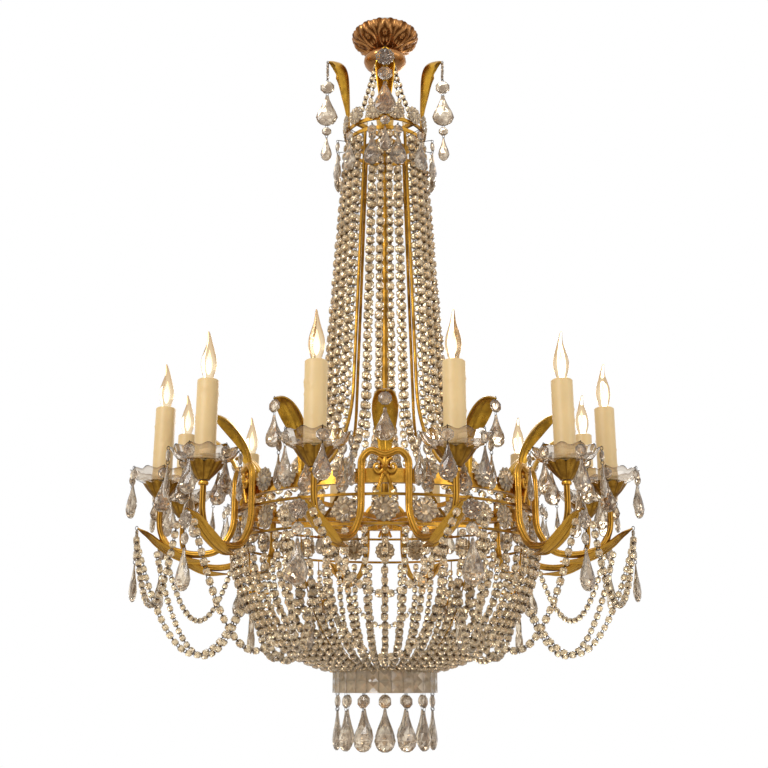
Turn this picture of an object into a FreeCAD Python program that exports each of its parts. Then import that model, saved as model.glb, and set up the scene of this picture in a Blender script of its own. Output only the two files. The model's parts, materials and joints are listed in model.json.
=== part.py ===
import FreeCAD, Part
import math
import os

import Sketcher
from FreeCAD import Vector

# A hanging basket chandelier with twelve candle lights, in millimetres. The ceiling is z = 0, +Z is up and the
# chandelier hangs along -Z, so every level is written as a drop below the ceiling. Front is -Y.

doc = FreeCAD.newDocument("crystal_chandelier")
sheet = doc.addObject("Spreadsheet::Sheet", "Sizes")

SIZES = [
    # ceiling plate, ring bolt and canopy
    ("canopy_radius", 66),
    ("canopy_depth", 38),
    ("sheet_wall", 1.6),
    ("neck_opening", 17),
    ("crossbar_width", 20),
    ("crossbar_thickness", 3),
    ("screw_spacing", 70),
    ("screw_hole", 5),
    ("shackle_radius", 9),
    ("shackle_wire", 5),
    ("shackle_drop", 16),
    ("fit_gap", 0.3),
    ("swing_gap", 3),
    # collar and stem
    ("collar_radius", 42),
    ("collar_height", 32),
    ("stem_diameter", 13),
    ("stem_end_drop", 1000),
    # crown
    ("crown_radius", 74),
    ("crown_drop", 224),
    ("crown_hoop_spacing", 20),
    ("hoop_height", 7),
    ("hoop_thickness", 3),
    ("spoke_width", 6),
    ("hub_radius", 13),
    ("crown_rosette", 37),
    ("rosette_thickness", 6),
    ("crown_rosette_count", 12),
    ("crown_front_leaf", 150),
    ("crown_side_leaf", 190),
    ("crown_leaf_width", 36),
    ("crown_leaf_reach", 43),
    ("leaf_thickness", 2),
    ("crown_drop_count", 12),
    ("crown_drop_reach", 19),
    # bead tent
    ("tent_positions", 30),
    ("rod_every", 5),
    ("tent_waist_radius", 108),
    ("tent_waist_drop", 752),
    ("tent_tube", 13),
    ("rod_diameter", 6),
    # main rings
    ("ring_radius", 257),
    ("band_drop", 940),
    ("band_height", 22),
    ("band_thickness", 10),
    ("thin_hoop", 4),
    ("gallery_drop", 968),
    ("basket_drop", 1013),
    ("gallery_rosette", 40),
    # leaves that stand on the main band
    ("ring_leaf_count", 12),
    ("ring_leaf_height", 108),
    ("ring_leaf_reach", 79),
    ("ring_leaf_width", 39),
    # double arms and lights
    ("arm_pairs", 6),
    ("arm_tube", 12),
    ("arm_arch_rise", 40),
    ("arm_arch_dip", 11),
    ("arm_leg_spread", 36),
    ("arm_belly_drop", 1042),
    ("candle_circle", 385),
    ("candle_half_angle", 15),
    ("cup_drop", 950),
    ("cup_height", 27),
    ("cup_radius", 31),
    ("bobeche_radius", 53),
    ("bobeche_height", 21),
    ("glass_wall", 3),
    ("nipple_radius", 5),
    ("socket_radius", 11),
    ("sleeve_diameter", 34),
    ("sleeve_height", 126),
    ("sleeve_wall", 4),
    ("bulb_diameter", 25),
    ("bulb_length", 80),
    ("bulb_base_diameter", 12),
    ("bulb_base_length", 18),
    ("arm_leaf_width", 30),
    ("arm_leaf_reach", 35),
    ("arm_leaf_tip_drop", 997),
    # bead basket and bottom ring
    ("basket_strand_count", 54),
    ("basket_bulge", 8),
    ("basket_tube", 7.4),
    ("rib_count", 6),
    ("rib_diameter", 2),
    ("bottom_radius", 85),
    ("bottom_drop", 1222),
    ("tile_size", 17),
    ("tile_thickness", 3.5),
    ("tile_gap", 0.6),
    ("tile_rows", 2),
    ("bottom_drop_count", 14),
    ("knob_drop", 1095),
    ("knob_reach", 12),
    # hanging glass
    ("octagon", 18),
    ("octagon_thickness", 7),
    ("link_length", 4),
    ("link_wire", 1.6),
    ("pear_length", 62),
    ("pear_width", 34),
    ("pear_depth", 14),
    ("pendalogue_length", 66),
    ("pendalogue_width", 43),
    ("icicle_length", 72),
    ("icicle_width", 15),
    ("bobeche_drop_count", 6),
    ("swag_tube", 9),
    ("front_swag_sag", 115),
    ("side_swag_sag", 140),
    ("under_swag_sag", 110),
]
for row, (name, value) in enumerate(SIZES, 1):
    sheet.set(f"A{row}", name)
    sheet.set(f"B{row}", str(value))
    sheet.setAlias(f"B{row}", name)
doc.recompute()

FULL_TURN = 360.0
nodes = []


class Values:
    """The sheet's numbers, read by name."""

    def __getattr__(self, name):
        return float(sheet.get(name))


s = Values()


def value_of(text):
    return float(sheet.evalExpression(text))


def keep(piece, label):
    """Names a finished sub-part, which is then written to its own file."""
    piece.Label = label
    nodes.append(piece)
    return piece


def solid_node(label, shapes):
    """A node that holds one or more separate solids."""
    shapes = shapes if isinstance(shapes, list) else [shapes]
    piece = doc.addObject("Part::Feature", label)
    piece.Shape = shapes[0] if len(shapes) == 1 else Part.makeCompound(shapes)
    return keep(piece, label)


def bound(kind, name, **sizes):
    """A Part primitive whose sizes are expressions of the sheet."""
    piece = doc.addObject(kind, name)
    for key, text in sizes.items():
        piece.setExpression(key.replace("_at_", "Placement.Base."), text)
    return piece


def turned(name, outline, level):
    """A PartDesign body turned about Z from a closed outline of (radius, height) expressions."""
    body = doc.addObject("PartDesign::Body", name)
    sketch = body.newObject("Sketcher::SketchObject", name + "_outline")
    plane = next(f for f in body.Origin.OriginFeatures if f.Role == "XZ_Plane")
    sketch.AttachmentSupport = (plane, [""])
    sketch.MapMode = "FlatFace"
    corners = [Vector(value_of(x), value_of(z), 0) for x, z in outline]
    count = len(corners)
    for i in range(count):
        sketch.addGeometry(Part.LineSegment(corners[i], corners[(i + 1) % count]), False)
    for i in range(count):
        sketch.addConstraint(Sketcher.Constraint("Coincident", i, 2, (i + 1) % count, 1))
    for i, (x, z) in enumerate(outline):
        for axis, text, number in (("X", x, corners[i].x), ("Y", z, corners[i].y)):
            if text == "0":
                sketch.addConstraint(Sketcher.Constraint("PointOnObject", i, 1, -2 if axis == "X" else -1))
            else:
                row = sketch.addConstraint(Sketcher.Constraint("Distance" + axis, -1, 1, i, 1, number))
                sketch.setExpression(f"Constraints[{row}]", text)
    turn = body.newObject("PartDesign::Revolution", name + "_turn")
    turn.Profile = (sketch, [""])
    turn.ReferenceAxis = (sketch, ["V_Axis"])
    turn.Angle = FULL_TURN
    body.Tip = turn
    body.setExpression("Placement.Base.z", level)
    return body


def hoop(label, outer, inner, height, drop):
    """A flat hoop: one cylinder cut from another."""
    middle = f"-({drop}) - ({height}) / 2"
    rim = bound("Part::Cylinder", label + "_rim", Radius=outer, Height=height, _at_z=middle)
    bore = bound("Part::Cylinder", label + "_bore", Radius=inner, Height=f"3 * ({height})",
                 _at_z=f"-({drop}) - 1.5 * ({height})")
    ring = doc.addObject("Part::Cut", label)
    ring.Base = rim
    ring.Tool = bore
    return keep(ring, label)


def turn_to(shape, azimuth, radius=0.0, drop=0.0):
    """Moves a shape out along X by radius, down by drop, and round to an azimuth measured from the front."""
    copy = shape.copy()
    copy.translate(Vector(radius, 0, -drop))
    copy.rotate(Vector(0, 0, 0), Vector(0, 0, 1), azimuth - 90)
    return copy


def azimuths(count, first=0.0):
    return [first + FULL_TURN * i / count for i in range(int(count))]


def ring_of(shape, angles, radius=0.0, drop=0.0):
    return [turn_to(shape, angle, radius, drop) for angle in angles]


def polygon(points):
    return Part.makePolygon(points + [points[0]])


def lofted(wires):
    return Part.makeLoft(wires, True, True)


def faceted(length, width, depth, rings, sides=8):
    """A cut-glass drop that hangs from z = 0; rings are (share of length, share of width)."""
    wires = []
    for down, share in rings:
        wires.append(polygon([
            Vector(depth / 2 * share * math.cos(a), width / 2 * share * math.sin(a), -length * down)
            for a in (math.tau * (k + 0.5) / sides for k in range(sides))
        ]))
    return lofted(wires)


def pear(length, width, depth):
    return faceted(length, width, depth, [(0, 0.12), (0.12, 0.22), (0.42, 0.66), (0.7, 1), (0.9, 0.66), (1, 0.2)])


def icicle(length, width):
    return faceted(length, width, width, [(0, 0.2), (0.16, 0.6), (0.5, 0.72), (0.82, 1), (1, 0.15)], 6)


def button(diameter, thickness, sides, crown=0.62):
    """A cut disc, measured across its flats, that faces outwards along X and hangs from z = 0."""
    wires = []
    corner = diameter / 2 / math.cos(math.pi / sides)
    for along, share in ((-0.5, crown), (-0.1, 1), (0.1, 1), (0.5, crown)):
        wires.append(polygon([
            Vector(thickness * along, corner * share * math.sin(a), corner * share * math.cos(a) - diameter / 2)
            for a in (math.tau * (k + 0.5) / sides for k in range(sides))
        ]))
    return lofted(wires)


def chain(items):
    """Glass pieces hung one under another on straight pin wires, from z = 0 down."""
    shapes = []
    level = 0.0
    for shape in items:
        top = shape.BoundBox.ZMax
        pin = Part.makeCylinder(s.link_wire / 2, s.link_length, Vector(0, 0, level - s.link_length))
        piece = shape.copy()
        level -= s.link_length
        piece.translate(Vector(0, 0, level - top))
        shapes += [pin, piece]
        level = piece.BoundBox.ZMin
    return Part.makeCompound(shapes)


def solids(shapes):
    return [solid for shape in shapes for solid in shape.Solids]


def blade(stations, thickness, cup):
    """A trough-shaped leaf in the XZ plane; stations are (x, z, half width) from its foot to its tip."""
    wires = []
    widest = max(half for x, z, half in stations)
    for i, (x, z, half) in enumerate(stations):
        before = stations[max(i - 1, 0)]
        after = stations[min(i + 1, len(stations) - 1)]
        along = Vector(after[0] - before[0], 0, after[1] - before[1]).normalize()
        out = Vector(along.z, 0, -along.x)
        centre = Vector(x, 0, z)
        side = Vector(0, half, 0)
        edge = centre + out * (cup * half ** 2 / widest)
        front, back = out * (thickness / 2), out * (-thickness / 2)
        wires.append(polygon([
            edge - side + front * 0.6, centre + front, edge + side + front * 0.6,
            edge + side + back * 0.6, centre + back, edge - side + back * 0.6,
        ]))
    return lofted(wires)


def rounded(points, share=0.45):
    """Straight runs joined by tangent arcs, each as large as its two runs allow."""
    edges = []
    start = points[0]
    for i in range(1, len(points) - 1):
        before, corner, after = points[i - 1], points[i], points[i + 1]
        inward, onward = corner - before, after - corner
        turn = inward.getAngle(onward)
        reach = share * min(inward.Length, onward.Length)
        inward.normalize()
        onward.normalize()
        first, last = corner - inward * reach, corner + onward * reach
        radius = reach / math.tan(turn / 2)
        pull = (onward - inward).normalize()
        middle = corner + pull * (radius / math.cos(turn / 2) - radius)
        edges.append(Part.LineSegment(start, first).toShape())
        edges.append(Part.Arc(first, middle, last).toShape())
        start = last
    edges.append(Part.LineSegment(start, points[-1]).toShape())
    return Part.Wire(edges)


def tube(path, diameter):
    """A round bar or strand along a path."""
    first = path.OrderedEdges[0]
    start = first.valueAt(first.FirstParameter)
    along = first.tangentAt(first.FirstParameter)
    if path.OrderedVertexes[0].Point.distanceToPoint(start) > 1e-6:
        start = first.valueAt(first.LastParameter)
        along = first.tangentAt(first.LastParameter) * -1
    section = Part.Wire([Part.makeCircle(diameter / 2, start, along)])
    shape = path.makePipeShell([section], True, False)
    return shape if shape.Volume > 0 else shape.reversed()


def upright(radius, drop):
    """A point of the XZ plane, at a radius and a drop."""
    return Vector(radius, 0, -drop)


def tangent_arc(start, along, end):
    """The arc that leaves start in a given direction and ends at end."""
    chord = end - start
    normal = Vector(along.z, 0, -along.x)
    normal = normal if normal.dot(chord) > 0 else normal * -1
    radius = chord.Length ** 2 / (2 * normal.dot(chord))
    centre = start + normal * radius
    middle = start + end - centre * 2
    middle = centre + middle.normalize() * radius
    return Part.Arc(start, middle, end).toShape()


# --- ceiling plate, ring bolt, canopy, collar and stem -------------------------------------------------------

def crossbar():
    inside = "(Sizes.canopy_radius - Sizes.sheet_wall - Sizes.fit_gap)"
    half = f"sqrt({inside} * {inside} - Sizes.crossbar_width * Sizes.crossbar_width / 4)"
    plate = bound("Part::Box", "crossbar_plate", Length="Sizes.crossbar_width", Width=f"2 * {half}",
                  Height="Sizes.crossbar_thickness", _at_x="-Sizes.crossbar_width / 2", _at_y=f"-{half}",
                  _at_z="-Sizes.crossbar_thickness")
    depth = "3 * Sizes.crossbar_thickness"
    level = "-2 * Sizes.crossbar_thickness"
    holes = [
        bound("Part::Cylinder", "crossbar_hole_front", Radius="Sizes.screw_hole / 2", Height=depth,
              _at_y="-Sizes.screw_spacing / 2", _at_z=level),
        bound("Part::Cylinder", "crossbar_hole_back", Radius="Sizes.screw_hole / 2", Height=depth,
              _at_y="Sizes.screw_spacing / 2", _at_z=level),
        bound("Part::Cylinder", "crossbar_hole_middle", Radius="Sizes.shackle_wire / 2 + Sizes.fit_gap",
              Height=depth, _at_z=level),
    ]
    cutters = doc.addObject("Part::MultiFuse", "crossbar_holes")
    cutters.Shapes = holes
    bar = doc.addObject("Part::Cut", "canopy_crossbar")
    bar.Base = plate
    bar.Tool = cutters
    keep(bar, "canopy_crossbar")


def ring_bolt():
    ring = bound("Part::Torus", "bolt_ring", Radius1="Sizes.shackle_radius", Radius2="Sizes.shackle_wire / 2",
                 _at_z="-Sizes.shackle_drop")
    ring.Placement.Rotation = FreeCAD.Rotation(Vector(1, 0, 0), 90)
    shank = bound("Part::Cylinder", "bolt_shank", Radius="Sizes.shackle_wire / 2",
                  Height="Sizes.shackle_drop - Sizes.shackle_radius", _at_z="Sizes.shackle_radius - Sizes.shackle_drop")
    bolt = doc.addObject("Part::MultiFuse", "ceiling_ring_bolt")
    bolt.Shapes = [ring, shank]
    keep(bolt, "ceiling_ring_bolt")


def stem():
    """The stem hangs by an eye at its head, linked through the ring bolt."""
    eye_drop = "(Sizes.shackle_drop + 2 * Sizes.shackle_radius - Sizes.shackle_wire - Sizes.fit_gap)"
    eye = bound("Part::Torus", "stem_eye", Radius1="Sizes.shackle_radius", Radius2="Sizes.shackle_wire / 2",
                _at_z=f"-{eye_drop}")
    eye.Placement.Rotation = FreeCAD.Rotation(Vector(0, 1, 0), 90)
    head = f"({eye_drop} + Sizes.shackle_radius)"
    rod = bound("Part::Cylinder", "stem_rod", Radius="Sizes.stem_diameter / 2",
                Height=f"Sizes.stem_end_drop - {head}", _at_z="-Sizes.stem_end_drop")
    whole = doc.addObject("Part::MultiFuse", "central_stem")
    whole.Shapes = [eye, rod]
    keep(whole, "central_stem")


def canopy():
    radius, depth, wall = "Sizes.canopy_radius", "Sizes.canopy_depth", "Sizes.sheet_wall"
    outline = [
        ("Sizes.neck_opening", "0"),
        (f"0.5 * {radius}", f"0.22 * {depth}"),
        (f"0.82 * {radius}", f"0.5 * {depth}"),
        (radius, f"0.84 * {depth}"),
        (radius, depth),
        (f"{radius} - {wall}", depth),
        (f"{radius} - {wall}", f"0.86 * {depth}"),
        (f"0.82 * {radius} - {wall}", f"0.5 * {depth} + 0.6 * {wall}"),
        (f"0.5 * {radius} - 0.4 * {wall}", f"0.22 * {depth} + {wall}"),
        ("Sizes.neck_opening", wall),
    ]
    keep(turned("canopy", outline, f"-{depth}"), "canopy")


def collar():
    bore = "Sizes.stem_diameter / 2 + Sizes.fit_gap / 2"
    radius, height = "Sizes.collar_radius", "Sizes.collar_height"
    outline = [
        (bore, "0"), (f"0.6 * {radius}", "0"), (f"0.9 * {radius}", f"0.2 * {height}"), (radius, f"0.5 * {height}"),
        (f"0.9 * {radius}", f"0.8 * {height}"), (f"0.5 * {radius}", height), (bore, height),
    ]
    level = f"-Sizes.canopy_depth - Sizes.swing_gap - {height}"
    keep(turned("canopy_collar", outline, level), "canopy_collar")


crossbar()
ring_bolt()
stem()
canopy()
collar()

# --- crown ---------------------------------------------------------------------------------------------------

QUARTERS = 4
crown_outer = "Sizes.crown_radius + Sizes.hoop_thickness / 2"
crown_inner = "Sizes.crown_radius - Sizes.hoop_thickness / 2"
lower_hoop_drop = s.crown_drop + s.crown_hoop_spacing
hoop("crown_upper_hoop", crown_outer, crown_inner, "Sizes.hoop_height", "Sizes.crown_drop")
hoop("crown_lower_hoop", crown_outer, crown_inner, "Sizes.hoop_height", "Sizes.crown_drop + Sizes.crown_hoop_spacing")


def spider(label, reach, drop, height, count, first):
    """A hub bored for the stem, with spokes out to a hoop."""
    hub = Part.makeCylinder(s.hub_radius, height, Vector(0, 0, -drop - height / 2))
    bar = Part.makeBox(reach, s.spoke_width, height, Vector(0, -s.spoke_width / 2, -drop - height / 2))
    body = hub.multiFuse(ring_of(bar, azimuths(count, first)))
    bore = Part.makeCylinder(s.stem_diameter / 2 + s.fit_gap / 2, 3 * height, Vector(0, 0, -drop - 1.5 * height))
    rim = Part.makeCylinder(reach, height, Vector(0, 0, -drop - height / 2))
    solid_node(label, body.cut(bore).common(rim))


spider("crown_spider", s.crown_radius - s.hoop_thickness / 2 - s.fit_gap / 2, s.crown_drop, s.hoop_height,
       QUARTERS, 45)

crown_face = s.crown_radius + s.hoop_thickness / 2
rosette_radius = crown_face + s.fit_gap + s.rosette_thickness / 2
rosette_top = s.crown_drop - s.crown_rosette + s.hoop_height / 2
crown_step = FULL_TURN / s.crown_rosette_count
solid_node("crown_rosettes", ring_of(button(s.crown_rosette, s.rosette_thickness, 12),
                                     azimuths(s.crown_rosette_count, crown_step / 2), rosette_radius, rosette_top))

# Four leaves join the two hoops on their inner faces, rise upright and curl outwards over their pendants. The two
# at the sides stand taller. Below its rosette, every pendant shows its broad face to the front.
CROWN_CUP = 1.3
LEAF_SHAPE = [(0, 0, 0.3), (0, 0.2, 0.3), (0, 0.42, 0.55), (0.01, 0.62, 0.88), (0.05, 0.8, 1), (0.17, 0.91, 0.96),
              (0.4, 0.97, 0.76), (0.7, 0.995, 0.45), (1, 1, 0.14)]
leaf_foot = lower_hoop_drop + s.hoop_height / 2
foot_half = LEAF_SHAPE[0][2] * s.crown_leaf_width / 2
leaf_radius = (s.crown_radius - s.hoop_thickness / 2 - 2 * s.fit_gap - s.leaf_thickness / 2
               - CROWN_CUP * LEAF_SHAPE[0][2] * foot_half)
quarter_lengths = [s.crown_front_leaf, s.crown_side_leaf] * 2
crown_leaves = []
for azimuth, tall in zip(azimuths(QUARTERS), quarter_lengths):
    crown_leaf = blade([(x * s.crown_leaf_reach, z * tall, half * s.crown_leaf_width / 2)
                        for x, z, half in LEAF_SHAPE], s.leaf_thickness, CROWN_CUP)
    crown_leaves.append(turn_to(crown_leaf, azimuth, leaf_radius, leaf_foot))
solid_node("crown_leaves", crown_leaves)

tip_gap = s.leaf_thickness / 4 + s.fit_gap + s.link_wire / 2
crown_tip_radius = leaf_radius + s.crown_leaf_reach + tip_gap
small_octagon = button(s.octagon, s.octagon_thickness, 8)
pendant_flower = button(s.crown_rosette, s.rosette_thickness, 12)
pendant_pieces = [
    button(s.octagon * 1.5, s.octagon_thickness, 8),
    pear(s.pendalogue_length, s.pendalogue_width, s.pear_depth),
    small_octagon,
    pear(s.pear_length * 0.8, s.pear_width * 0.65, s.pear_depth * 0.8),
]
for number, (azimuth, tall) in enumerate(zip(azimuths(QUARTERS), quarter_lengths), 1):
    crown_tip_drop = leaf_foot - tall - s.leaf_thickness / 2
    hanging = [piece.copy() for piece in pendant_pieces]
    for piece in hanging:
        piece.rotate(Vector(0, 0, 0), Vector(0, 0, 1), azimuth)
    pendant = turn_to(chain([pendant_flower] + hanging), azimuth, crown_tip_radius, crown_tip_drop)
    solid_node(f"crown_pendant_{number}", solids([pendant]))

# Pear drops hang round the lower hoop on short pins, clear of the bead strands behind them.
drop_chain = chain([small_octagon, pear(s.pear_length * 0.92, s.pear_width, s.pear_depth)])
pin = Part.makeCylinder(s.link_wire / 2, s.crown_drop_reach, Vector(crown_face, 0, -lower_hoop_drop), Vector(1, 0, 0))
pins = ring_of(pin, azimuths(s.crown_drop_count, crown_step / 2))
hung = ring_of(drop_chain, azimuths(s.crown_drop_count, crown_step / 2),
               crown_face + s.crown_drop_reach - s.link_wire / 2, lower_hoop_drop + s.link_wire / 2)
solid_node("crown_drops", pins + solids(hung))

# Four short bead strings run from under the collar down to the crown's upper hoop.
string_top = upright(s.collar_radius * 0.55, s.canopy_depth + s.swing_gap + s.collar_height + s.fit_gap + 1)
string_foot = upright(s.crown_radius - s.basket_tube / 2, s.crown_drop - s.hoop_height / 2 - s.fit_gap - 1)
collar_string = tube(Part.Wire([Part.LineSegment(string_top, string_foot).toShape()]), s.basket_tube)
solid_node("collar_strings", ring_of(collar_string, azimuths(QUARTERS, 45)))

# --- bead tent -----------------------------------------------------------------------------------------------

tent_top = upright(s.crown_radius, lower_hoop_drop + s.hoop_height / 2 + s.fit_gap + s.tent_tube * 0.04)
tent_waist = upright(s.tent_waist_radius, s.tent_waist_drop)
band_inner = s.ring_radius - s.band_thickness / 2


def tent_line(diameter):
    """Straight down from the crown to the waist, then one arc that flares out to the main band."""
    foot = upright(band_inner - s.fit_gap - diameter / 4, s.band_drop - s.band_height * 0.1)
    along = (tent_waist - tent_top).normalize()
    path = Part.Wire([Part.LineSegment(tent_top, tent_waist).toShape(), tangent_arc(tent_waist, along, foot)])
    return tube(path, diameter)


tent_angles = azimuths(s.tent_positions, FULL_TURN / s.tent_positions / 2)
rod_first = int(s.rod_every / 2)
rod_angles = [a for i, a in enumerate(tent_angles) if i % int(s.rod_every) == rod_first]
strand_angles = [a for a in tent_angles if a not in rod_angles]
solid_node("tent_rods", ring_of(tent_line(s.rod_diameter), rod_angles))
solid_node("tent_strands", ring_of(tent_line(s.tent_tube), strand_angles))

# --- main rings ----------------------------------------------------------------------------------------------

hoop("main_band", "Sizes.ring_radius + Sizes.band_thickness / 2", "Sizes.ring_radius - Sizes.band_thickness / 2",
     "Sizes.band_height", "Sizes.band_drop")
thin_outer = "Sizes.ring_radius + Sizes.band_thickness / 2"
thin_inner = "Sizes.ring_radius + Sizes.band_thickness / 2 - Sizes.thin_hoop"
hoop("gallery_hoop", thin_outer, thin_inner, "Sizes.thin_hoop", "Sizes.gallery_drop")
hoop("basket_hoop", thin_outer, thin_inner, "Sizes.thin_hoop", "Sizes.basket_drop")
ring_face = s.ring_radius + s.band_thickness / 2
hoop_bore = ring_face - s.thin_hoop
spider("main_spider", hoop_bore - s.fit_gap / 2, s.gallery_drop, s.hoop_height, s.arm_pairs, 30)

nut_height = 2 * s.hoop_height
nut = Part.makeCylinder(s.hub_radius, nut_height).cut(
    Part.makeCylinder(s.stem_diameter / 2 + s.fit_gap / 2, nut_height))
nut.translate(Vector(0, 0, -s.gallery_drop - s.hoop_height / 2 - nut_height - s.fit_gap / 2))
solid_node("stem_nut", nut)

pair_step = FULL_TURN / s.arm_pairs
leg_angle = math.degrees(math.atan2(s.arm_leg_spread, ring_face))
rosette_angle = math.degrees(s.gallery_rosette / ring_face)
# Four rosettes fill the space between two pairs. The lower row has one more between the legs of each pair.
side_gap = leg_angle + math.degrees((s.arm_tube / 2 + s.fit_gap) / ring_face) + rosette_angle / 2
free = pair_step - 2 * side_gap
GALLERY_FILL = 4
band_angles = [pair + side_gap + free * k / (GALLERY_FILL - 1)
               for pair in azimuths(s.arm_pairs) for k in range(GALLERY_FILL)]
gallery_disc = button(s.gallery_rosette, s.rosette_thickness, 12)
disc_radius = ring_face + s.fit_gap + s.rosette_thickness / 2
band_disc_top = s.band_drop + s.band_height / 2 - s.gallery_rosette
solid_node("band_rosettes", ring_of(gallery_disc, band_angles, disc_radius, band_disc_top))
basket_disc = button(s.basket_drop - s.gallery_drop - s.thin_hoop - 2 * s.fit_gap, s.rosette_thickness, 12)
basket_disc_top = s.gallery_drop + s.thin_hoop / 2 + s.fit_gap
solid_node("basket_rosettes", ring_of(basket_disc, band_angles + azimuths(s.arm_pairs),
                                      ring_face - s.thin_hoop / 2, basket_disc_top))

# --- leaves on the main band ---------------------------------------------------------------------------------

RING_CUP = 0.5
RING_LEAF_SHAPE = [(0, 0, 0.4), (0.01, 0.2, 0.45), (0.04, 0.4, 0.6), (0.16, 0.62, 0.85), (0.38, 0.83, 1),
                   (0.62, 0.96, 0.9), (0.84, 1, 0.6), (1, 0.95, 0.2)]
ring_leaf = blade([(x * s.ring_leaf_reach, z * s.ring_leaf_height, half * s.ring_leaf_width / 2)
                   for x, z, half in RING_LEAF_SHAPE], s.leaf_thickness, RING_CUP)
leaf_angles = azimuths(s.ring_leaf_count)
ring_leaf_foot = s.band_drop - s.band_height / 2 - s.fit_gap / 2
ring_leaf_radius = band_inner + s.leaf_thickness
solid_node("ring_leaves", ring_of(ring_leaf, leaf_angles, ring_leaf_radius, ring_leaf_foot))
ring_tip_radius = ring_leaf_radius + s.ring_leaf_reach + tip_gap
ring_tip_drop = ring_leaf_foot - RING_LEAF_SHAPE[-1][1] * s.ring_leaf_height - s.leaf_thickness / 2
leaf_chain = chain([button(s.octagon * 1.1, s.octagon_thickness, 8),
                    pear(s.pear_length * 0.8, s.pear_width * 0.88, s.pear_depth)])
solid_node("ring_leaf_drops", solids(ring_of(leaf_chain, leaf_angles, ring_tip_radius, ring_tip_drop)))

# --- double arms ---------------------------------------------------------------------------------------------

half_angle = math.radians(s.candle_half_angle)
leg_radius = math.sqrt((ring_face + s.fit_gap + s.arm_tube / 2) ** 2 - s.arm_leg_spread ** 2)
candle_side = s.candle_circle * math.sin(half_angle)
candle_out = s.candle_circle * math.cos(half_angle)
leg_foot = Vector(leg_radius, s.arm_leg_spread, 0)
candle_foot = Vector(candle_out, candle_side, 0)
arm_span = (candle_foot - leg_foot).Length
arm_along = (candle_foot - leg_foot).normalize()


def arm_point(share, drop):
    """A point of the upright plane through a leg and its candle; share 0 is the leg and 1 the candle."""
    point = leg_foot + arm_along * (share * arm_span)
    return Vector(point.x, point.y, -drop)


def mirrored(point):
    return Vector(point.x, -point.y, point.z)


# The two legs of a pair are one bar, which rises over the band in two humps with a dip between them.
arch_drop = s.band_drop - s.arm_arch_rise
leg_bend_drop = s.basket_drop - s.arm_tube
one_side = [
    Vector(leg_radius, 0, -arch_drop - s.arm_arch_dip),
    Vector(leg_radius, 0.6 * s.arm_leg_spread, -arch_drop),
    arm_point(0, arch_drop + 0.4 * s.arm_leg_spread),
    arm_point(0, leg_bend_drop),
    arm_point(0.2, s.arm_belly_drop - 5),
    arm_point(0.5, s.arm_belly_drop),
    arm_point(0.86, s.arm_belly_drop - 10),
    arm_point(1, s.arm_belly_drop - 42),
    arm_point(1, s.cup_drop + s.fit_gap / 2),
]
arm_path = rounded([mirrored(p) for p in reversed(one_side[1:])] + one_side)
arm_shape = tube(arm_path, s.arm_tube)
pair_angles = azimuths(s.arm_pairs)
for number, azimuth in enumerate(pair_angles, 1):
    solid_node(f"arm_pair_{number}", turn_to(arm_shape, azimuth))

candle_angles = sorted(pair + side * s.candle_half_angle for pair in pair_angles for side in (-1, 1))

# A leaf lies under each arm's belly and sweeps out past the candle to a raised tip.
ARM_CUP = 0.65
under = s.arm_tube / 2 + 5 * s.fit_gap + s.leaf_thickness
tip_share = 1 + s.arm_leaf_reach / arm_span
tip_rise = s.arm_belly_drop - s.arm_leaf_tip_drop
leaf_line = [(0.3, -under, 0.3), (0.42, -under, 0.7), (0.6, -under, 0.95), (0.8, -2 * s.fit_gap, 1),
             (1, 0.34 * tip_rise, 0.95), (1 + 0.55 * (tip_share - 1), 0.75 * tip_rise, 0.7), (tip_share, tip_rise, 0.15)]
belly_leaf = blade([(share * arm_span, rise, half * s.arm_leaf_width / 2) for share, rise, half in leaf_line],
                   s.leaf_thickness, -ARM_CUP)
bearing = math.degrees(math.atan2(arm_along.y, arm_along.x))
arm_leaves = []
for side in (-1, 1):
    leaf = belly_leaf.copy()
    leaf.translate(Vector(0, 0, -s.arm_belly_drop))
    leaf.rotate(Vector(0, 0, 0), Vector(0, 0, 1), side * bearing)
    leaf.translate(Vector(leg_foot.x, side * leg_foot.y, 0))
    arm_leaves += ring_of(leaf, pair_angles)
solid_node("arm_leaves", arm_leaves)

tip = arm_point(tip_share + tip_gap / arm_span, s.arm_leaf_tip_drop)
tip_radius = math.hypot(tip.x, tip.y)
tip_angle = math.degrees(math.atan2(tip.y, tip.x))
tip_angles = sorted(pair + side * tip_angle for pair in pair_angles for side in (-1, 1))
tip_rosette = 0.8 * s.crown_rosette
arm_chain = chain([button(tip_rosette, s.rosette_thickness, 12), small_octagon,
                   pear(s.pear_length, s.pear_width, s.pear_depth)])
arm_drop_top = s.arm_leaf_tip_drop - s.leaf_thickness
solid_node("arm_leaf_drops", solids(ring_of(arm_chain, tip_angles, tip_radius, arm_drop_top)))

# --- candle lights -------------------------------------------------------------------------------------------

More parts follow.
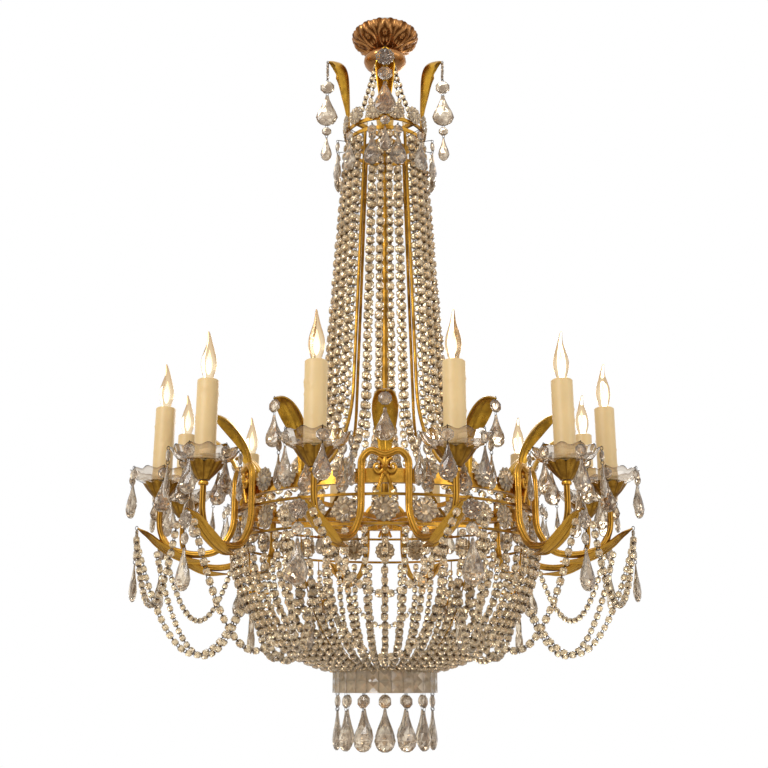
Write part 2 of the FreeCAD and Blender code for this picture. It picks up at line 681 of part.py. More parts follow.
nipple = "Sizes.nipple_radius"
seat = "Sizes.fit_gap"
cup = turned("candle_cup", [
    (f"{nipple} + {seat}", "0"), ("0.35 * Sizes.cup_radius", "0"),
    ("0.62 * Sizes.cup_radius", "0.42 * Sizes.cup_height"),
    ("Sizes.cup_radius", "Sizes.cup_height"), ("Sizes.cup_radius - 1.4 * Sizes.sheet_wall", "Sizes.cup_height"),
    ("0.62 * Sizes.cup_radius - Sizes.sheet_wall", "0.42 * Sizes.cup_height + Sizes.sheet_wall"),
    ("0.35 * Sizes.cup_radius - 0.3 * Sizes.sheet_wall", "Sizes.sheet_wall"), (f"{nipple} + {seat}", "Sizes.sheet_wall"),
], "-Sizes.cup_drop + Sizes.fit_gap / 2")
bobeche = turned("glass_dish", [
    (f"{nipple} + {seat}", "0"), ("0.5 * Sizes.bobeche_radius", "0"),
    ("0.8 * Sizes.bobeche_radius", "0.3 * Sizes.bobeche_height"),
    ("Sizes.bobeche_radius", "Sizes.bobeche_height"),
    ("Sizes.bobeche_radius - Sizes.glass_wall", "Sizes.bobeche_height"),
    ("0.8 * Sizes.bobeche_radius - 0.6 * Sizes.glass_wall", "0.3 * Sizes.bobeche_height + Sizes.glass_wall"),
    ("0.5 * Sizes.bobeche_radius", "Sizes.glass_wall"), (f"{nipple} + {seat}", "Sizes.glass_wall"),
], "-Sizes.cup_drop + Sizes.cup_height + Sizes.fit_gap")
dish_floor = "(-Sizes.cup_drop + Sizes.cup_height + Sizes.fit_gap + Sizes.glass_wall)"
sleeve_top = f"({dish_floor} + Sizes.fit_gap / 2 + Sizes.sleeve_height)"
socket_low = "(-Sizes.cup_drop + 2 * Sizes.fit_gap)"
socket_top = f"({sleeve_top} - 1 - {socket_low})"
step = f"({dish_floor} + Sizes.fit_gap / 2 - {socket_low})"
pocket = "(Sizes.bulb_base_length + Sizes.fit_gap)"
pocket_radius = "Sizes.bulb_base_diameter / 2 + Sizes.fit_gap"
socket = turned("lamp_holder", [
    ("0", "0"), (nipple, "0"), (nipple, step), ("Sizes.socket_radius", step), ("Sizes.socket_radius", socket_top),
    (pocket_radius, socket_top), (pocket_radius, f"{socket_top} - {pocket}"), ("0", f"{socket_top} - {pocket}"),
], socket_low)
sleeve = turned("wax_sleeve", [
    ("Sizes.sleeve_diameter / 2 - Sizes.sleeve_wall", "0"), ("Sizes.sleeve_diameter / 2", "0"),
    ("Sizes.sleeve_diameter / 2", "Sizes.sleeve_height - Sizes.sleeve_wall / 3"),
    ("Sizes.sleeve_diameter / 2 - Sizes.sleeve_wall / 3", "Sizes.sleeve_height"),
    ("Sizes.sleeve_diameter / 2 - Sizes.sleeve_wall", "Sizes.sleeve_height"),
], f"{dish_floor} + Sizes.fit_gap / 2")
base_radius, base_length = "Sizes.bulb_base_diameter / 2", "Sizes.bulb_base_length"
glass = "Sizes.bulb_diameter / 2"
bulb = turned("flame_bulb", [("0", "0"), (base_radius, "0"), (base_radius, base_length)] + [
    (f"{wide} * {glass}", f"{base_length} + {high} * Sizes.bulb_length")
    for wide, high in ((0.62, 0.05), (0.9, 0.16), (1, 0.28), (0.93, 0.4), (0.7, 0.56), (0.42, 0.72), (0.22, 0.86),
                       (0.1, 1))
] + [("0", f"{base_length} + Sizes.bulb_length")], f"{socket_low} + {socket_top} - {pocket} + Sizes.fit_gap")
doc.recompute()


def candle_row(body):
    """Twelve copies of a body, one on each candle's axis."""
    return ring_of(body.Shape.Solids[0], candle_angles, s.candle_circle)


solid_node("candle_cups", candle_row(cup))
solid_node("bobeches", candle_row(bobeche))
solid_node("lamp_sockets", candle_row(socket))
solid_node("candle_sleeves", candle_row(sleeve))
for number, shape in enumerate(candle_row(bulb), 1):
    solid_node(f"bulb_{number}", shape)

rim_drop = s.cup_drop - s.cup_height - s.fit_gap - s.bobeche_height
rim_chain = chain([small_octagon, pear(s.pear_length * 0.82, s.pear_width * 0.82, s.pear_depth * 0.8)])
rim_hang = s.bobeche_radius + s.fit_gap + s.link_wire / 2
rim_set = Part.makeCompound(ring_of(rim_chain, azimuths(s.bobeche_drop_count), rim_hang, rim_drop + s.fit_gap))
solid_node("bobeche_drops", solids(ring_of(rim_set, candle_angles, s.candle_circle)))

# --- bead basket ---------------------------------------------------------------------------------------------

tile_depth = s.tile_rows * (s.tile_size + s.tile_gap)
tile_face = s.bottom_radius + s.tile_thickness / 2
strand_start = ring_face + s.basket_bulge / 2 - s.thin_hoop


bowl_top = s.basket_drop + s.thin_hoop / 2 + s.fit_gap


def quarter_bowl(diameter, side, foot):
    """An arc that leaves a hoop straight down and runs in to the bottom ring."""
    return tube(Part.Wire([tangent_arc(upright(side, bowl_top), Vector(0, 0, -1), foot)]), diameter)


def bowl_radius(start, foot, drop):
    """How far out an arc of the basket lies at a level."""
    chord = foot - upright(start, bowl_top)
    arc = chord.Length ** 2 / (-2 * chord.x)
    return start - arc + math.sqrt(arc ** 2 - (drop - bowl_top) ** 2)


strand_foot = upright(tile_face + s.fit_gap * 2, s.bottom_drop - s.basket_tube * 0.3)
basket_strand = quarter_bowl(s.basket_tube, strand_start, strand_foot)
solid_node("basket_strands", ring_of(basket_strand, azimuths(s.basket_strand_count)))
backing_middle = s.bottom_radius - s.tile_thickness / 2 - s.fit_gap - s.thin_hoop / 2
rib_start = hoop_bore - s.rib_diameter / 2 - s.fit_gap
rib_foot = upright(backing_middle, s.bottom_drop - s.rib_diameter / 2 - 2 * s.fit_gap)
rib = quarter_bowl(s.rib_diameter, rib_start, rib_foot)
rib_angles = azimuths(s.rib_count, FULL_TURN / s.rib_count / 2)
solid_node("basket_ribs", ring_of(rib, rib_angles))

backing_outer = "Sizes.bottom_radius - Sizes.tile_thickness / 2 - Sizes.fit_gap"
hoop("bottom_ring", backing_outer, f"{backing_outer} - Sizes.thin_hoop",
     "Sizes.tile_rows * (Sizes.tile_size + Sizes.tile_gap)",
     "Sizes.bottom_drop + Sizes.tile_rows * (Sizes.tile_size + Sizes.tile_gap) / 2")
tile = Part.makeBox(s.tile_thickness, s.tile_size, s.tile_size,
                    Vector(s.bottom_radius - s.tile_thickness / 2, -s.tile_size / 2, -s.tile_size))
tile_count = int(math.tau * s.bottom_radius / (s.tile_size + s.tile_gap + s.tile_thickness / 4))
tiles = []
for row in range(int(s.tile_rows)):
    tiles += ring_of(tile, azimuths(tile_count), 0, s.bottom_drop + row * (s.tile_size + s.tile_gap))
solid_node("bottom_tiles", tiles)

bottom_chain = chain([button(s.octagon * 1.1, s.octagon_thickness, 8), pear(s.pear_length, s.pear_width, s.pear_depth)])
solid_node("bottom_drops", solids(ring_of(bottom_chain, azimuths(s.bottom_drop_count), backing_middle,
                                          s.bottom_drop + tile_depth)))

# Six small knobs stand out between the strands, on the ribs, and carry the ends of the swags and an icicle each.
ball = s.octagon * 0.4
knob_start = bowl_radius(rib_start, rib_foot, s.knob_drop - s.link_wire) + s.rib_diameter / 2 + s.fit_gap
knob_end = bowl_radius(strand_start, strand_foot, s.knob_drop) + s.basket_tube / 2 + s.knob_reach
knob_rod = Part.makeCylinder(s.link_wire, knob_end - knob_start, Vector(knob_start, 0, -s.knob_drop), Vector(1, 0, 0))
knob = knob_rod.fuse(Part.makeSphere(ball, Vector(knob_end, 0, -s.knob_drop)))
solid_node("side_knobs", ring_of(knob, rib_angles))
icicle_chain = chain([button(s.octagon * 0.7, s.octagon_thickness, 8), icicle(s.icicle_length, s.icicle_width)])
solid_node("side_icicles", solids(ring_of(icicle_chain, rib_angles, knob_end, s.knob_drop + ball)))

# --- bead swags ----------------------------------------------------------------------------------------------

SWAG_RUNS = 8


def swag(start, end, sag):
    """A slack bead chain between two hooks, as straight runs and arcs along a parabola."""
    points = []
    for i in range(SWAG_RUNS + 1):
        t = i / SWAG_RUNS
        point = start + (end - start) * t
        points.append(point - Vector(0, 0, 4 * sag * t * (1 - t)))
    return tube(rounded(points), s.swag_tube)


def at(azimuth, radius, drop, across=0.0):
    """A point at a radius, beside an azimuth by a distance across it."""
    point = Vector(radius, across, -drop)
    return FreeCAD.Rotation(Vector(0, 0, 1), azimuth - 90).multVec(point)


hook_drop = arm_drop_top + s.link_length + tip_rosette / 2
hook_side = tip_rosette / 2 + s.fit_gap + s.swag_tube / 2
knob_side = ball + s.fit_gap + s.swag_tube / 2
knob_corner = knob_side * math.sqrt(0.5)
swags = []
for azimuth in pair_angles:
    left = at(azimuth - tip_angle, tip_radius, hook_drop, hook_side)
    right = at(azimuth + tip_angle, tip_radius, hook_drop, -hook_side)
    swags.append(swag(left, right, s.front_swag_sag))
for azimuth in rib_angles:
    here = at(azimuth, knob_end, s.knob_drop, knob_side)
    there = at(azimuth + FULL_TURN / s.rib_count, knob_end, s.knob_drop, -knob_side)
    swags.append(swag(here, there, s.under_swag_sag))
    for side in (-1, 1):
        leaf_tip = at(azimuth + side * (pair_step / 2 - tip_angle), tip_radius, hook_drop, -side * hook_side)
        corner = at(azimuth, knob_end + knob_corner, s.knob_drop, side * knob_corner)
        swags.append(swag(leaf_tip, corner, s.side_swag_sag))
solid_node("swags", swags)

# --- check and write -----------------------------------------------------------------------------------------

doc.recompute()
for piece in doc.Objects:
    if "Invalid" in piece.State or "Error" in piece.State:
        raise RuntimeError(f"{piece.Label} failed: {piece.State}")
os.makedirs("parts", exist_ok=True)
for piece in nodes:
    shape = piece.Shape
    if shape.isNull() or not shape.isValid() or not shape.Solids:
        raise RuntimeError(f"{piece.Label} has no valid solid")
    shape.exportStep(os.path.join("parts", piece.Label + ".step"))
    box = shape.BoundBox
    print(f"{piece.Label:18s} {len(shape.Solids):4d} solids  volume {shape.Volume:11.0f}  "
          f"z {box.ZMin:8.1f} to {box.ZMax:8.1f}  x to {box.XMax:6.1f}")
print(len(nodes), "nodes")
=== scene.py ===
"""A hanging basket chandelier: cut glass, gilt brass and candle lights, dressed round its fixed frame."""

import json
import math
import random

import bpy
from mathutils import Matrix, Vector
from mathutils.kdtree import KDTree


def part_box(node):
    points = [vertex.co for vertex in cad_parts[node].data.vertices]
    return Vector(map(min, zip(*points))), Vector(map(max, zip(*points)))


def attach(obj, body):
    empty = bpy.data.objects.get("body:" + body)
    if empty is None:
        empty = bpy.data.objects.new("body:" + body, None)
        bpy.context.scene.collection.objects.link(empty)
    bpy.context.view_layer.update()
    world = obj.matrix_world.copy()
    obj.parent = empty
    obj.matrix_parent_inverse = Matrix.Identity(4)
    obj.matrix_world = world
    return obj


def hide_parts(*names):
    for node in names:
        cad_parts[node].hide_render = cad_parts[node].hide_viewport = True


bl_info = {
    "name": "Basket Chandelier",
    "version": (1, 0, 0),
    "blender": (4, 5, 0),
    "location": "3D View > Sidebar > Chandelier",
    "description": "Models the cut glass, gilt leaves, arms and candle lights of a hanging basket chandelier",
    "category": "Object",
}

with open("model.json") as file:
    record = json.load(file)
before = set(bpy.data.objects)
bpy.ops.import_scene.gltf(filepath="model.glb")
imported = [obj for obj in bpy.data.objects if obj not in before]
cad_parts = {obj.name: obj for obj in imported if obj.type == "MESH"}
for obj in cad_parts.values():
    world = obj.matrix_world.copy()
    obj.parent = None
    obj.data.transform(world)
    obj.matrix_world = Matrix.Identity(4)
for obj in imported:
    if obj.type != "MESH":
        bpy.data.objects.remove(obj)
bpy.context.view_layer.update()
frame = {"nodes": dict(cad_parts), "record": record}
MM = 0.001
FRONT_TURN = math.pi / 2
CLEAR = 0.15 * MM         # room between two seated parts
LINK_RUN = 4 * MM         # what one wire link takes of a hanging chain
HOOK_OUT = 1.6 * MM       # how far outside a leaf's tip its drop hangs
BAND_OUT = 5 * MM         # from the main ring's middle radius to the band's outer face
BAND_HALF = 11 * MM       # half the band's height
CANDLE_TURN = 15          # degrees from the middle of an arm pair to its candle
TIP_REACH = 35 * MM       # how far an arm leaf's tip lies beyond the candle
TIP_DROP = 997 * MM       # level of an arm leaf's tip
TIP_ROSETTE = 29.6 * MM   # rosette under an arm leaf's tip
KNOB_BALL = 7.2 * MM      # radius of a swag knob
SWAG_SIDE = 4.8 * MM      # from a knob's or rosette's edge to the first point of a swag


# --- sizes and colours -------------------------------------------------------------------------------------

def length(label, text, millimetres):
    return bpy.props.FloatProperty(name=label, description=text, default=millimetres * MM, unit="LENGTH")


def number(label, text, count):
    return bpy.props.IntProperty(name=label, description=text, default=count, min=1)


def colour(label, text, red, green, blue):
    return bpy.props.FloatVectorProperty(name=label, description=text, default=(red, green, blue),
                                         subtype="COLOR", min=0, max=1)


class ChandelierSizes(bpy.types.PropertyGroup):
    canopy_radius: length("Canopy radius", "Outer radius of the canopy", 66)
    canopy_depth: length("Canopy depth", "Height of the canopy", 38)
    collar_radius: length("Collar radius", "Largest radius of the collar under the canopy", 42)
    collar_top: length("Collar top", "Level of the collar's top below the ceiling", 41)
    collar_height: length("Collar height", "Height of the collar", 32)
    crown_radius: length("Crown radius", "Middle radius of the two crown hoops", 74)
    crown_drop: length("Crown level", "Level of the upper crown hoop below the ceiling", 224)
    crown_low: length("Lower crown hoop", "Level of the lower crown hoop below the ceiling", 244)
    leaf_foot_radius: length("Crown leaf foot", "Radius of the crown leaves' feet", 68.8)
    crown_front_leaf: length("Front crown leaf", "Height of the crown's front and back leaves", 150)
    crown_side_leaf: length("Side crown leaf", "Height of the crown's two side leaves", 190)
    crown_leaf_reach: length("Crown leaf reach", "How far a crown leaf's tip stands out from its foot", 43)
    crown_leaf_width: length("Crown leaf width", "Widest part of a crown leaf", 36)
    rosette: length("Crown rosette", "Diameter of a crown rosette", 37)
    waist_radius: length("Tent waist radius", "Radius where the bead strands start to flare", 108)
    waist_drop: length("Tent waist level", "Level where the bead strands start to flare", 752)
    ring_radius: length("Main ring radius", "Middle radius of the main band", 257)
    band_drop: length("Main band level", "Middle level of the main band below the ceiling", 940)
    gallery_drop: length("Gallery hoop level", "Level of the hoop under the band rosettes", 968)
    basket_drop: length("Basket hoop level", "Level of the hoop that carries the bead basket", 1013)
    ring_leaf_height: length("Ring leaf height", "Height of a leaf that stands on the band", 108)
    ring_leaf_reach: length("Ring leaf reach", "How far a ring leaf's tip stands out", 79)
    ring_leaf_width: length("Ring leaf width", "Widest part of a ring leaf", 39)
    arm_tube: length("Arm width", "Width of the reeded arm", 12)
    arm_belly: length("Arm belly level", "Lowest level of an arm's middle line", 1042)
    arch_drop: length("Arm arch level", "Level of the humps over the band", 900)
    leg_spread: length("Leg spread", "Distance of an arm's leg from the pair's middle", 36)
    candle_circle: length("Candle circle", "Radius of the circle of candles", 385)
    cup_drop: length("Cup level", "Level of the candle cups' undersides", 950)
    cup_radius: length("Cup radius", "Radius of a candle cup's rim", 31)
    cup_height: length("Cup height", "Height of a candle cup", 27)
    dish_radius: length("Glass dish radius", "Radius of the glass dish under a candle", 53)
    dish_height: length("Glass dish height", "Height of the glass dish", 21)
    sleeve_radius: length("Sleeve radius", "Outer radius of a candle sleeve", 17)
    sleeve_height: length("Sleeve height", "Height of a candle sleeve", 126)
    bottom_radius: length("Bottom ring radius", "Middle radius of the tiles of the bottom ring", 85)
    bottom_drop: length("Bottom ring level", "Level of the bottom ring's top edge", 1222)
    tile: length("Tile size", "Side of a square glass tile", 17)
    knob_drop: length("Knob level", "Level of the knobs that carry the swags", 1095)
    tent_bead: length("Tent bead", "Diameter of a bead of the tent", 14.4)
    basket_bead: length("Basket bead", "Diameter of a bead of the basket", 11.4)
    swag_bead: length("Swag bead", "Diameter of a bead of the swags", 11)


class ChandelierCounts(bpy.types.PropertyGroup):
    tent_places: number("Tent places", "Places round the tent, strands and rods together", 30)
    rod_every: number("Rod every", "One place in this many is a rod", 5)
    basket_strands: number("Basket strands", "Bead strands of the basket", 54)
    pairs: number("Arm pairs", "Pairs of candle arms", 6)
    seed: number("Seed", "Start of the small differences between beads", 11)


class ChandelierColours(bpy.types.PropertyGroup):
    gilt: colour("Gilt", "Bright gilt on the raised parts", 0.82, 0.43, 0.06)
    # The dark gilt and copper colours are painted shade on faces turned down and in grooves, and partly the
    # metals' own toning in hollows.
    gilt_dark: colour("Gilt shade", "Brown toning in the gilt's hollows", 0.11, 0.047, 0.007)
    copper: colour("Copper", "Raised parts of the canopy", 0.50, 0.235, 0.08)
    copper_dark: colour("Copper shade", "Hollows of the canopy", 0.085, 0.026, 0.004)
    # The light and dark glass colours are the painted reflections of the facets and the painted shade in the
    # glass's grooves.
    glass: colour("Clear glass", "Light facets of the cut glass", 1.0, 0.81, 0.53)
    glass_dark: colour("Glass shade", "Dark facets of the cut glass", 0.16, 0.08, 0.028)
    wire: colour("Wire", "Pins and links between the beads", 0.06, 0.032, 0.016)
    wax: colour("Wax", "Candle sleeves", 0.64, 0.455, 0.215)
    glow: colour("Glow", "Light of the bulbs", 1.0, 0.80, 0.50)


# --- materials ---------------------------------------------------------------------------------------------

# A mix node's colour sockets go by number, since their labels are shared with its other kinds.
FIRST, SECOND, MIXED = 6, 7, 2


def node_group(name, inputs, outputs):
    """An empty shader group with named sockets; inputs are (label, kind, default)."""
    group = bpy.data.node_groups.new(name, "ShaderNodeTree")
    for label, kind, default in inputs:
        socket = group.interface.new_socket(name=label, in_out="INPUT", socket_type=kind)
        socket.default_value = default
    for label, kind in outputs:
        group.interface.new_socket(name=label, in_out="OUTPUT", socket_type=kind)
    return group, group.nodes.new("NodeGroupInput").outputs, group.nodes.new("NodeGroupOutput")


def feed(tree, node, inputs):
    """Sets inputs of a node, each to a value or to another node's output."""
    for label, value in inputs.items():
        if isinstance(value, bpy.types.NodeSocket):
            tree.links.new(value, node.inputs[label])
        else:
            node.inputs[label].default_value = value


def add(tree, kind, inputs=None, **settings):
    """A node with its settings and inputs."""
    node = tree.nodes.new(kind)
    for key, value in settings.items():
        setattr(node, key, value)
    feed(tree, node, inputs or {})
    return node


def noise(tree, scale, detail=2.0, roughness=0.5):
    """Noise over a piece's own coordinates."""
    place = add(tree, "ShaderNodeTexCoord")
    inputs = {"Vector": place.outputs["Object"], "Scale": scale, "Detail": detail, "Roughness": roughness}
    return add(tree, "ShaderNodeTexNoise", inputs).outputs["Fac"]


def spread(tree, value, start, end, low=0.0, high=1.0):
    """How far a value is on its way from start to end, as a number from low to high."""
    inputs = {"Value": value, "From Min": start, "From Max": end, "To Min": low, "To Max": high}
    return add(tree, "ShaderNodeMapRange", inputs).outputs["Result"]


def combine(tree, operation, *terms, clamp=True):
    """The outcome of one sum with its terms, kept within 0 and 1 unless told otherwise."""
    inputs = dict(enumerate(terms))
    return add(tree, "ShaderNodeMath", inputs, operation=operation, use_clamp=clamp).outputs["Value"]


def level_share(tree, low, high):
    """How far up a point lies between two levels, from 0 to 1."""
    place = add(tree, "ShaderNodeTexCoord")
    split = add(tree, "ShaderNodeSeparateXYZ", {"Vector": place.outputs["Object"]})
    return spread(tree, split.outputs["Z"], low, high)


def mixed(tree, share, first, second):
    """A colour between two others."""
    inputs = {"Factor": share, FIRST: first, SECOND: second}
    return add(tree, "ShaderNodeMix", inputs, data_type="RGBA").outputs[MIXED]


def grooved(group, amount, first, second):
    """A colour between two by an amount, or by a groove's depth where that is more, and the share it took;
    the groove's depth paints shade into the grooves.
    """
    groove = add(group, "ShaderNodeAttribute", attribute_name="groove")
    share = combine(group, "MAXIMUM", amount, groove.outputs["Fac"])
    return mixed(group, share, first, second), share


def bumped(tree, height, strength, distance):
    """Surface directions made uneven by a height."""
    inputs = {"Height": height, "Strength": strength, "Distance": distance}
    return add(tree, "ShaderNodeBump", inputs).outputs["Normal"]


def tinted(base, share):
    """A colour made darker or lighter by a share."""
    return [min(1.0, share * part) for part in base]


def tone_and_shade_group():
    """Brown toning in patches with a fine grain, painted shade on faces turned down, and darkening in grooves
    that is painted shade and partly the metal's own toning.
    """
    group, given, out = node_group("Toning and Painted Shade", [
        ("Bright", "NodeSocketColor", (1, 1, 1, 1)), ("Dark", "NodeSocketColor", (0, 0, 0, 1)),
        ("Scale", "NodeSocketFloat", 60.0), ("Amount", "NodeSocketFloat", 0.6),
    ], [("Color", "NodeSocketColor"), ("Roughness", "NodeSocketFloat"), ("Height", "NodeSocketFloat")])
    facing = add(group, "ShaderNodeNewGeometry")
    split = add(group, "ShaderNodeSeparateXYZ", {"Vector": facing.outputs["Normal"]})
    # Painted shade: faces turned down are darker.
    down = spread(group, split.outputs["Z"], 0.5, -1.0)
    patch = spread(group, noise(group, given["Scale"], 4.0, 0.6), 0.38, 0.68)
    both = combine(group, "MULTIPLY_ADD", down, 0.75, patch, clamp=False)
    shade_and_patches = combine(group, "MULTIPLY", both, given["Amount"])
    tone, share = grooved(group, shade_and_patches, given["Bright"], given["Dark"])
    feed(group, out, {"Color": tone, "Roughness": spread(group, share, 0.0, 1.0, 0.17, 0.5),
                      "Height": noise(group, 900.0)})


def facet_group():
    """Each facet gets its own depth of tint, a painted reflection, as cut glass shows a different part of the
    room in each; grooves are painted darker as shade.
    """
    group, given, out = node_group("Facets", [
        ("Light", "NodeSocketColor", (1, 1, 1, 1)), ("Dark", "NodeSocketColor", (0.3, 0.3, 0.3, 1)),
        ("Share", "NodeSocketFloat", 0.5), ("Piece Scale", "NodeSocketFloat", 70.0),
    ], [("Color", "NodeSocketColor")])
    facing = add(group, "ShaderNodeNewGeometry")
    snap = add(group, "ShaderNodeVectorMath", {0: facing.outputs["True Normal"], 1: (0.3, 0.3, 0.3)},
               operation="SNAP")
    chance = add(group, "ShaderNodeTexWhiteNoise", {"Vector": snap.outputs["Vector"]}, noise_dimensions="3D")
    coarse = noise(group, given["Piece Scale"], 1.0)
    total = combine(group, "MULTIPLY_ADD", chance.outputs["Value"], 0.55, coarse, clamp=False)
    depth = combine(group, "MULTIPLY", spread(group, total, 0.60, 0.92), given["Share"])
    feed(group, out, {"Color": grooved(group, depth, given["Light"], given["Dark"])[0]})


def new_material(name):
    material = bpy.data.materials.new(name)
    material.use_nodes = True
    return material.node_tree, material.node_tree.nodes["Principled BSDF"]


def metal(name, bright, dark, scale, amount, bump):
    """Toned metal with painted shade, from the shared toning and painted shade group."""
    tree, shader = new_material(name)
    inputs = {"Bright": (*bright, 1), "Dark": (*dark, 1), "Scale": scale, "Amount": amount}
    tone = add(tree, "ShaderNodeGroup", inputs, node_tree=bpy.data.node_groups["Toning and Painted Shade"]).outputs
    feed(tree, shader, {"Metallic": 1.0, "Base Color": tone["Color"], "Roughness": tone["Roughness"],
                        "Normal": bumped(tree, tone["Height"], bump, 0.0004)})


def crystal(name, light, dark, share, scale, rough, clear=1.0):
    """Cut glass with painted facet reflections and painted shade in its grooves, from the shared facet group;
    less than fully clear glass is a little milky.
    """
    tree, shader = new_material(name)
    inputs = {"Light": (*light, 1), "Dark": (*dark, 1), "Share": share, "Piece Scale": scale}
    facets = add(tree, "ShaderNodeGroup", inputs, node_tree=bpy.data.node_groups["Facets"])
    feed(tree, shader, {"Base Color": facets.outputs["Color"], "Transmission Weight": clear,
                        "Roughness": rough, "IOR": 1.52})


def wax_material(name, base):
    """Cream wax with faint mottling, soft light under its skin and a faint painted glow."""
    tree, shader = new_material(name)
    cloud = noise(tree, 38.0, 5.0)
    cream = mixed(tree, cloud, (*tinted(base, 0.9), 1), (*tinted(base, 1.08), 1))
    feed(tree, shader, {"Base Color": cream, "Roughness": 0.45, "Subsurface Weight": 0.25,
                        "Subsurface Radius": (0.01, 0.006, 0.003), "Subsurface Scale": 0.6,
                        # Painted glow: the wax gives off a faint light of its own colour.
                        "Emission Color": cream, "Emission Strength": 0.16,
                        "Normal": bumped(tree, cloud, 0.35, 0.0008)})


def bulb_material(name, tint):
    """Clear bulb glass, painted a deeper amber along its outline as shade, and a deeper amber towards its
    tip.
    """
    tree, shader = new_material(name)
    edge = add(tree, "ShaderNodeLayerWeight", {"Blend": 0.55})
    # Painted shade: where the bulb's face turns away from view it is deeper amber.
    depth = combine(tree, "MULTIPLY_ADD", level_share(tree, -0.765, -0.715), 0.55, edge.outputs["Facing"])
    amber = (0.46 * tint[0], 0.30 * tint[1], 0.14 * tint[2], 1)
    glass = mixed(tree, depth, (0.95, 0.78, 0.53, 1), amber)
    feed(tree, shader, {"Base Color": glass, "Transmission Weight": 1.0, "Roughness": 0.02, "IOR": 1.25})


def glow_material(name, tint):
    """The lit inside of a bulb, whitest near its foot."""
    tree, shader = new_material(name)
    warm = mixed(tree, level_share(tree, -0.79, -0.735), (1.0, 0.95, 0.84, 1), (*tint, 1))
    feed(tree, shader, {"Base Color": warm, "Emission Color": warm, "Emission Strength": 1.3})


def holder_material(name):
    """The black bulb holders, faintly mottled."""
    tree, shader = new_material(name)
    black = mixed(tree, noise(tree, 400.0), (0.02, 0.018, 0.016, 1), (0.05, 0.045, 0.04, 1))
    feed(tree, shader, {"Base Color": black, "Roughness": 0.4})


def paint(piece, name):
    """Gives the piece one finish."""
    piece.data.materials.clear()
    piece.data.materials.append(bpy.data.materials[name])


# --- modelling helpers -------------------------------------------------------------------------------------

def deselect():
    bpy.ops.object.select_all(action="DESELECT")


def current():
    return bpy.context.view_layer.objects.active


def pick(*pieces):
    """Selects these pieces alone, the first as the active one."""
    deselect()
    for piece in pieces:
        piece.select_set(True)
    bpy.context.view_layer.objects.active = pieces[0]


def smooth(piece, degrees):
    """Soft shading that keeps edges sharper than an angle."""
    pick(piece)
    bpy.ops.object.shade_smooth_by_angle(angle=math.radians(degrees))


def turned(name, rings, sides, closed_ends=True, loop=False):
    """A form about Z, a circle drawn out ring by ring; rings are (level, half depth, half width)."""
    deselect()
    level, deep, wide = rings[0]
    fill = "NGON" if closed_ends else "NOTHING"
    bpy.ops.mesh.primitive_circle_add(vertices=sides, radius=1, fill_type=fill, location=(0, 0, level),
                                      rotation=(0, 0, math.pi / sides))
    piece = current()
    piece.name = name
    bpy.ops.object.transform_apply(location=True, rotation=True, scale=True)
    bpy.ops.object.mode_set(mode="EDIT")
    bpy.ops.mesh.select_all(action="SELECT")
    bpy.ops.transform.resize(value=(deep, wide, 1), center_override=(0, 0, level))
    for next_level, next_deep, next_wide in rings[1:]:
        rise = (0, 0, next_level - level)
        if closed_ends:
            bpy.ops.mesh.extrude_region_move(TRANSFORM_OT_translate={"value": rise})
        else:
            bpy.ops.mesh.extrude_edges_move(TRANSFORM_OT_translate={"value": rise})
        growth = (next_deep / deep, next_wide / wide, 1)
        bpy.ops.transform.resize(value=growth, center_override=(0, 0, next_level))
        level, deep, wide = next_level, next_deep, next_wide
    bpy.ops.mesh.select_all(action="SELECT")
    if loop:
        bpy.ops.mesh.remove_doubles(threshold=1e-6)
    bpy.ops.mesh.normals_make_consistent(inside=False)
    bpy.ops.object.mode_set(mode="OBJECT")
    return piece


def spun(name, outline, sides, closed_ends=True, loop=False):
    """A round form about Z from an outline of (radius, level)."""
    return turned(name, [(level, radius, radius) for radius, level in outline], sides, closed_ends, loop)


def reshape(piece, rule, depth=None):
    """Moves every point by a rule; depth tells how deep in a groove a point lies, which is painted darker as
    shade.
    """
    mesh = piece.data
    if depth:
        groove = mesh.attributes.new("groove", "FLOAT", "POINT")
        groove.data.foreach_set("value", [min(max(depth(vertex.co), 0.0), 1.0) for vertex in mesh.vertices])
    for vertex in mesh.vertices:
        vertex.co = rule(vertex.co)
    mesh.update()


def finish_with(piece, kind, **settings):
    """Adds one modifier and applies it."""
    pick(piece)
    modifier = piece.modifiers.new(kind.title(), kind)
    for key, value in settings.items():
        setattr(modifier, key, value)
    bpy.ops.object.modifier_apply(modifier=modifier.name)


def round_turn(azimuth, radius=0.0, drop=0.0, across=0.0):
    """Out along the front direction by a radius, down by a drop, and round to an azimuth in degrees."""
    turn = Matrix.Rotation(math.radians(azimuth) - FRONT_TURN, 4, "Z")
    return turn @ Matrix.Translation((radius, across, -drop))


def joined(name, parts):
    """Several parts made one piece."""
    pick(*parts)
    bpy.ops.object.join()
    piece = current()
    piece.name = piece.data.name = name
    return piece


def copies(name, pattern, places):
    """One piece made of a copy of the pattern at every place, each from its own mesh."""
    made = []
    for place in places:
        one = pattern.copy()
        one.data = pattern.data.copy()
        one.data.transform(place)
        bpy.context.scene.collection.objects.link(one)
        made.append(one)
    return joined(name, made)


def drop_pattern(*patterns):
    """Removes patterns once their copies are made."""
    for pattern in patterns:
        bpy.data.objects.remove(pattern)


def put(piece, body, slot, finish, *nodes):
    """Finishes a piece: its material, the body it moves with and the frame nodes that it stands for."""
    paint(piece, finish)
    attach(piece, body)
    if nodes:
        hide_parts(*nodes)


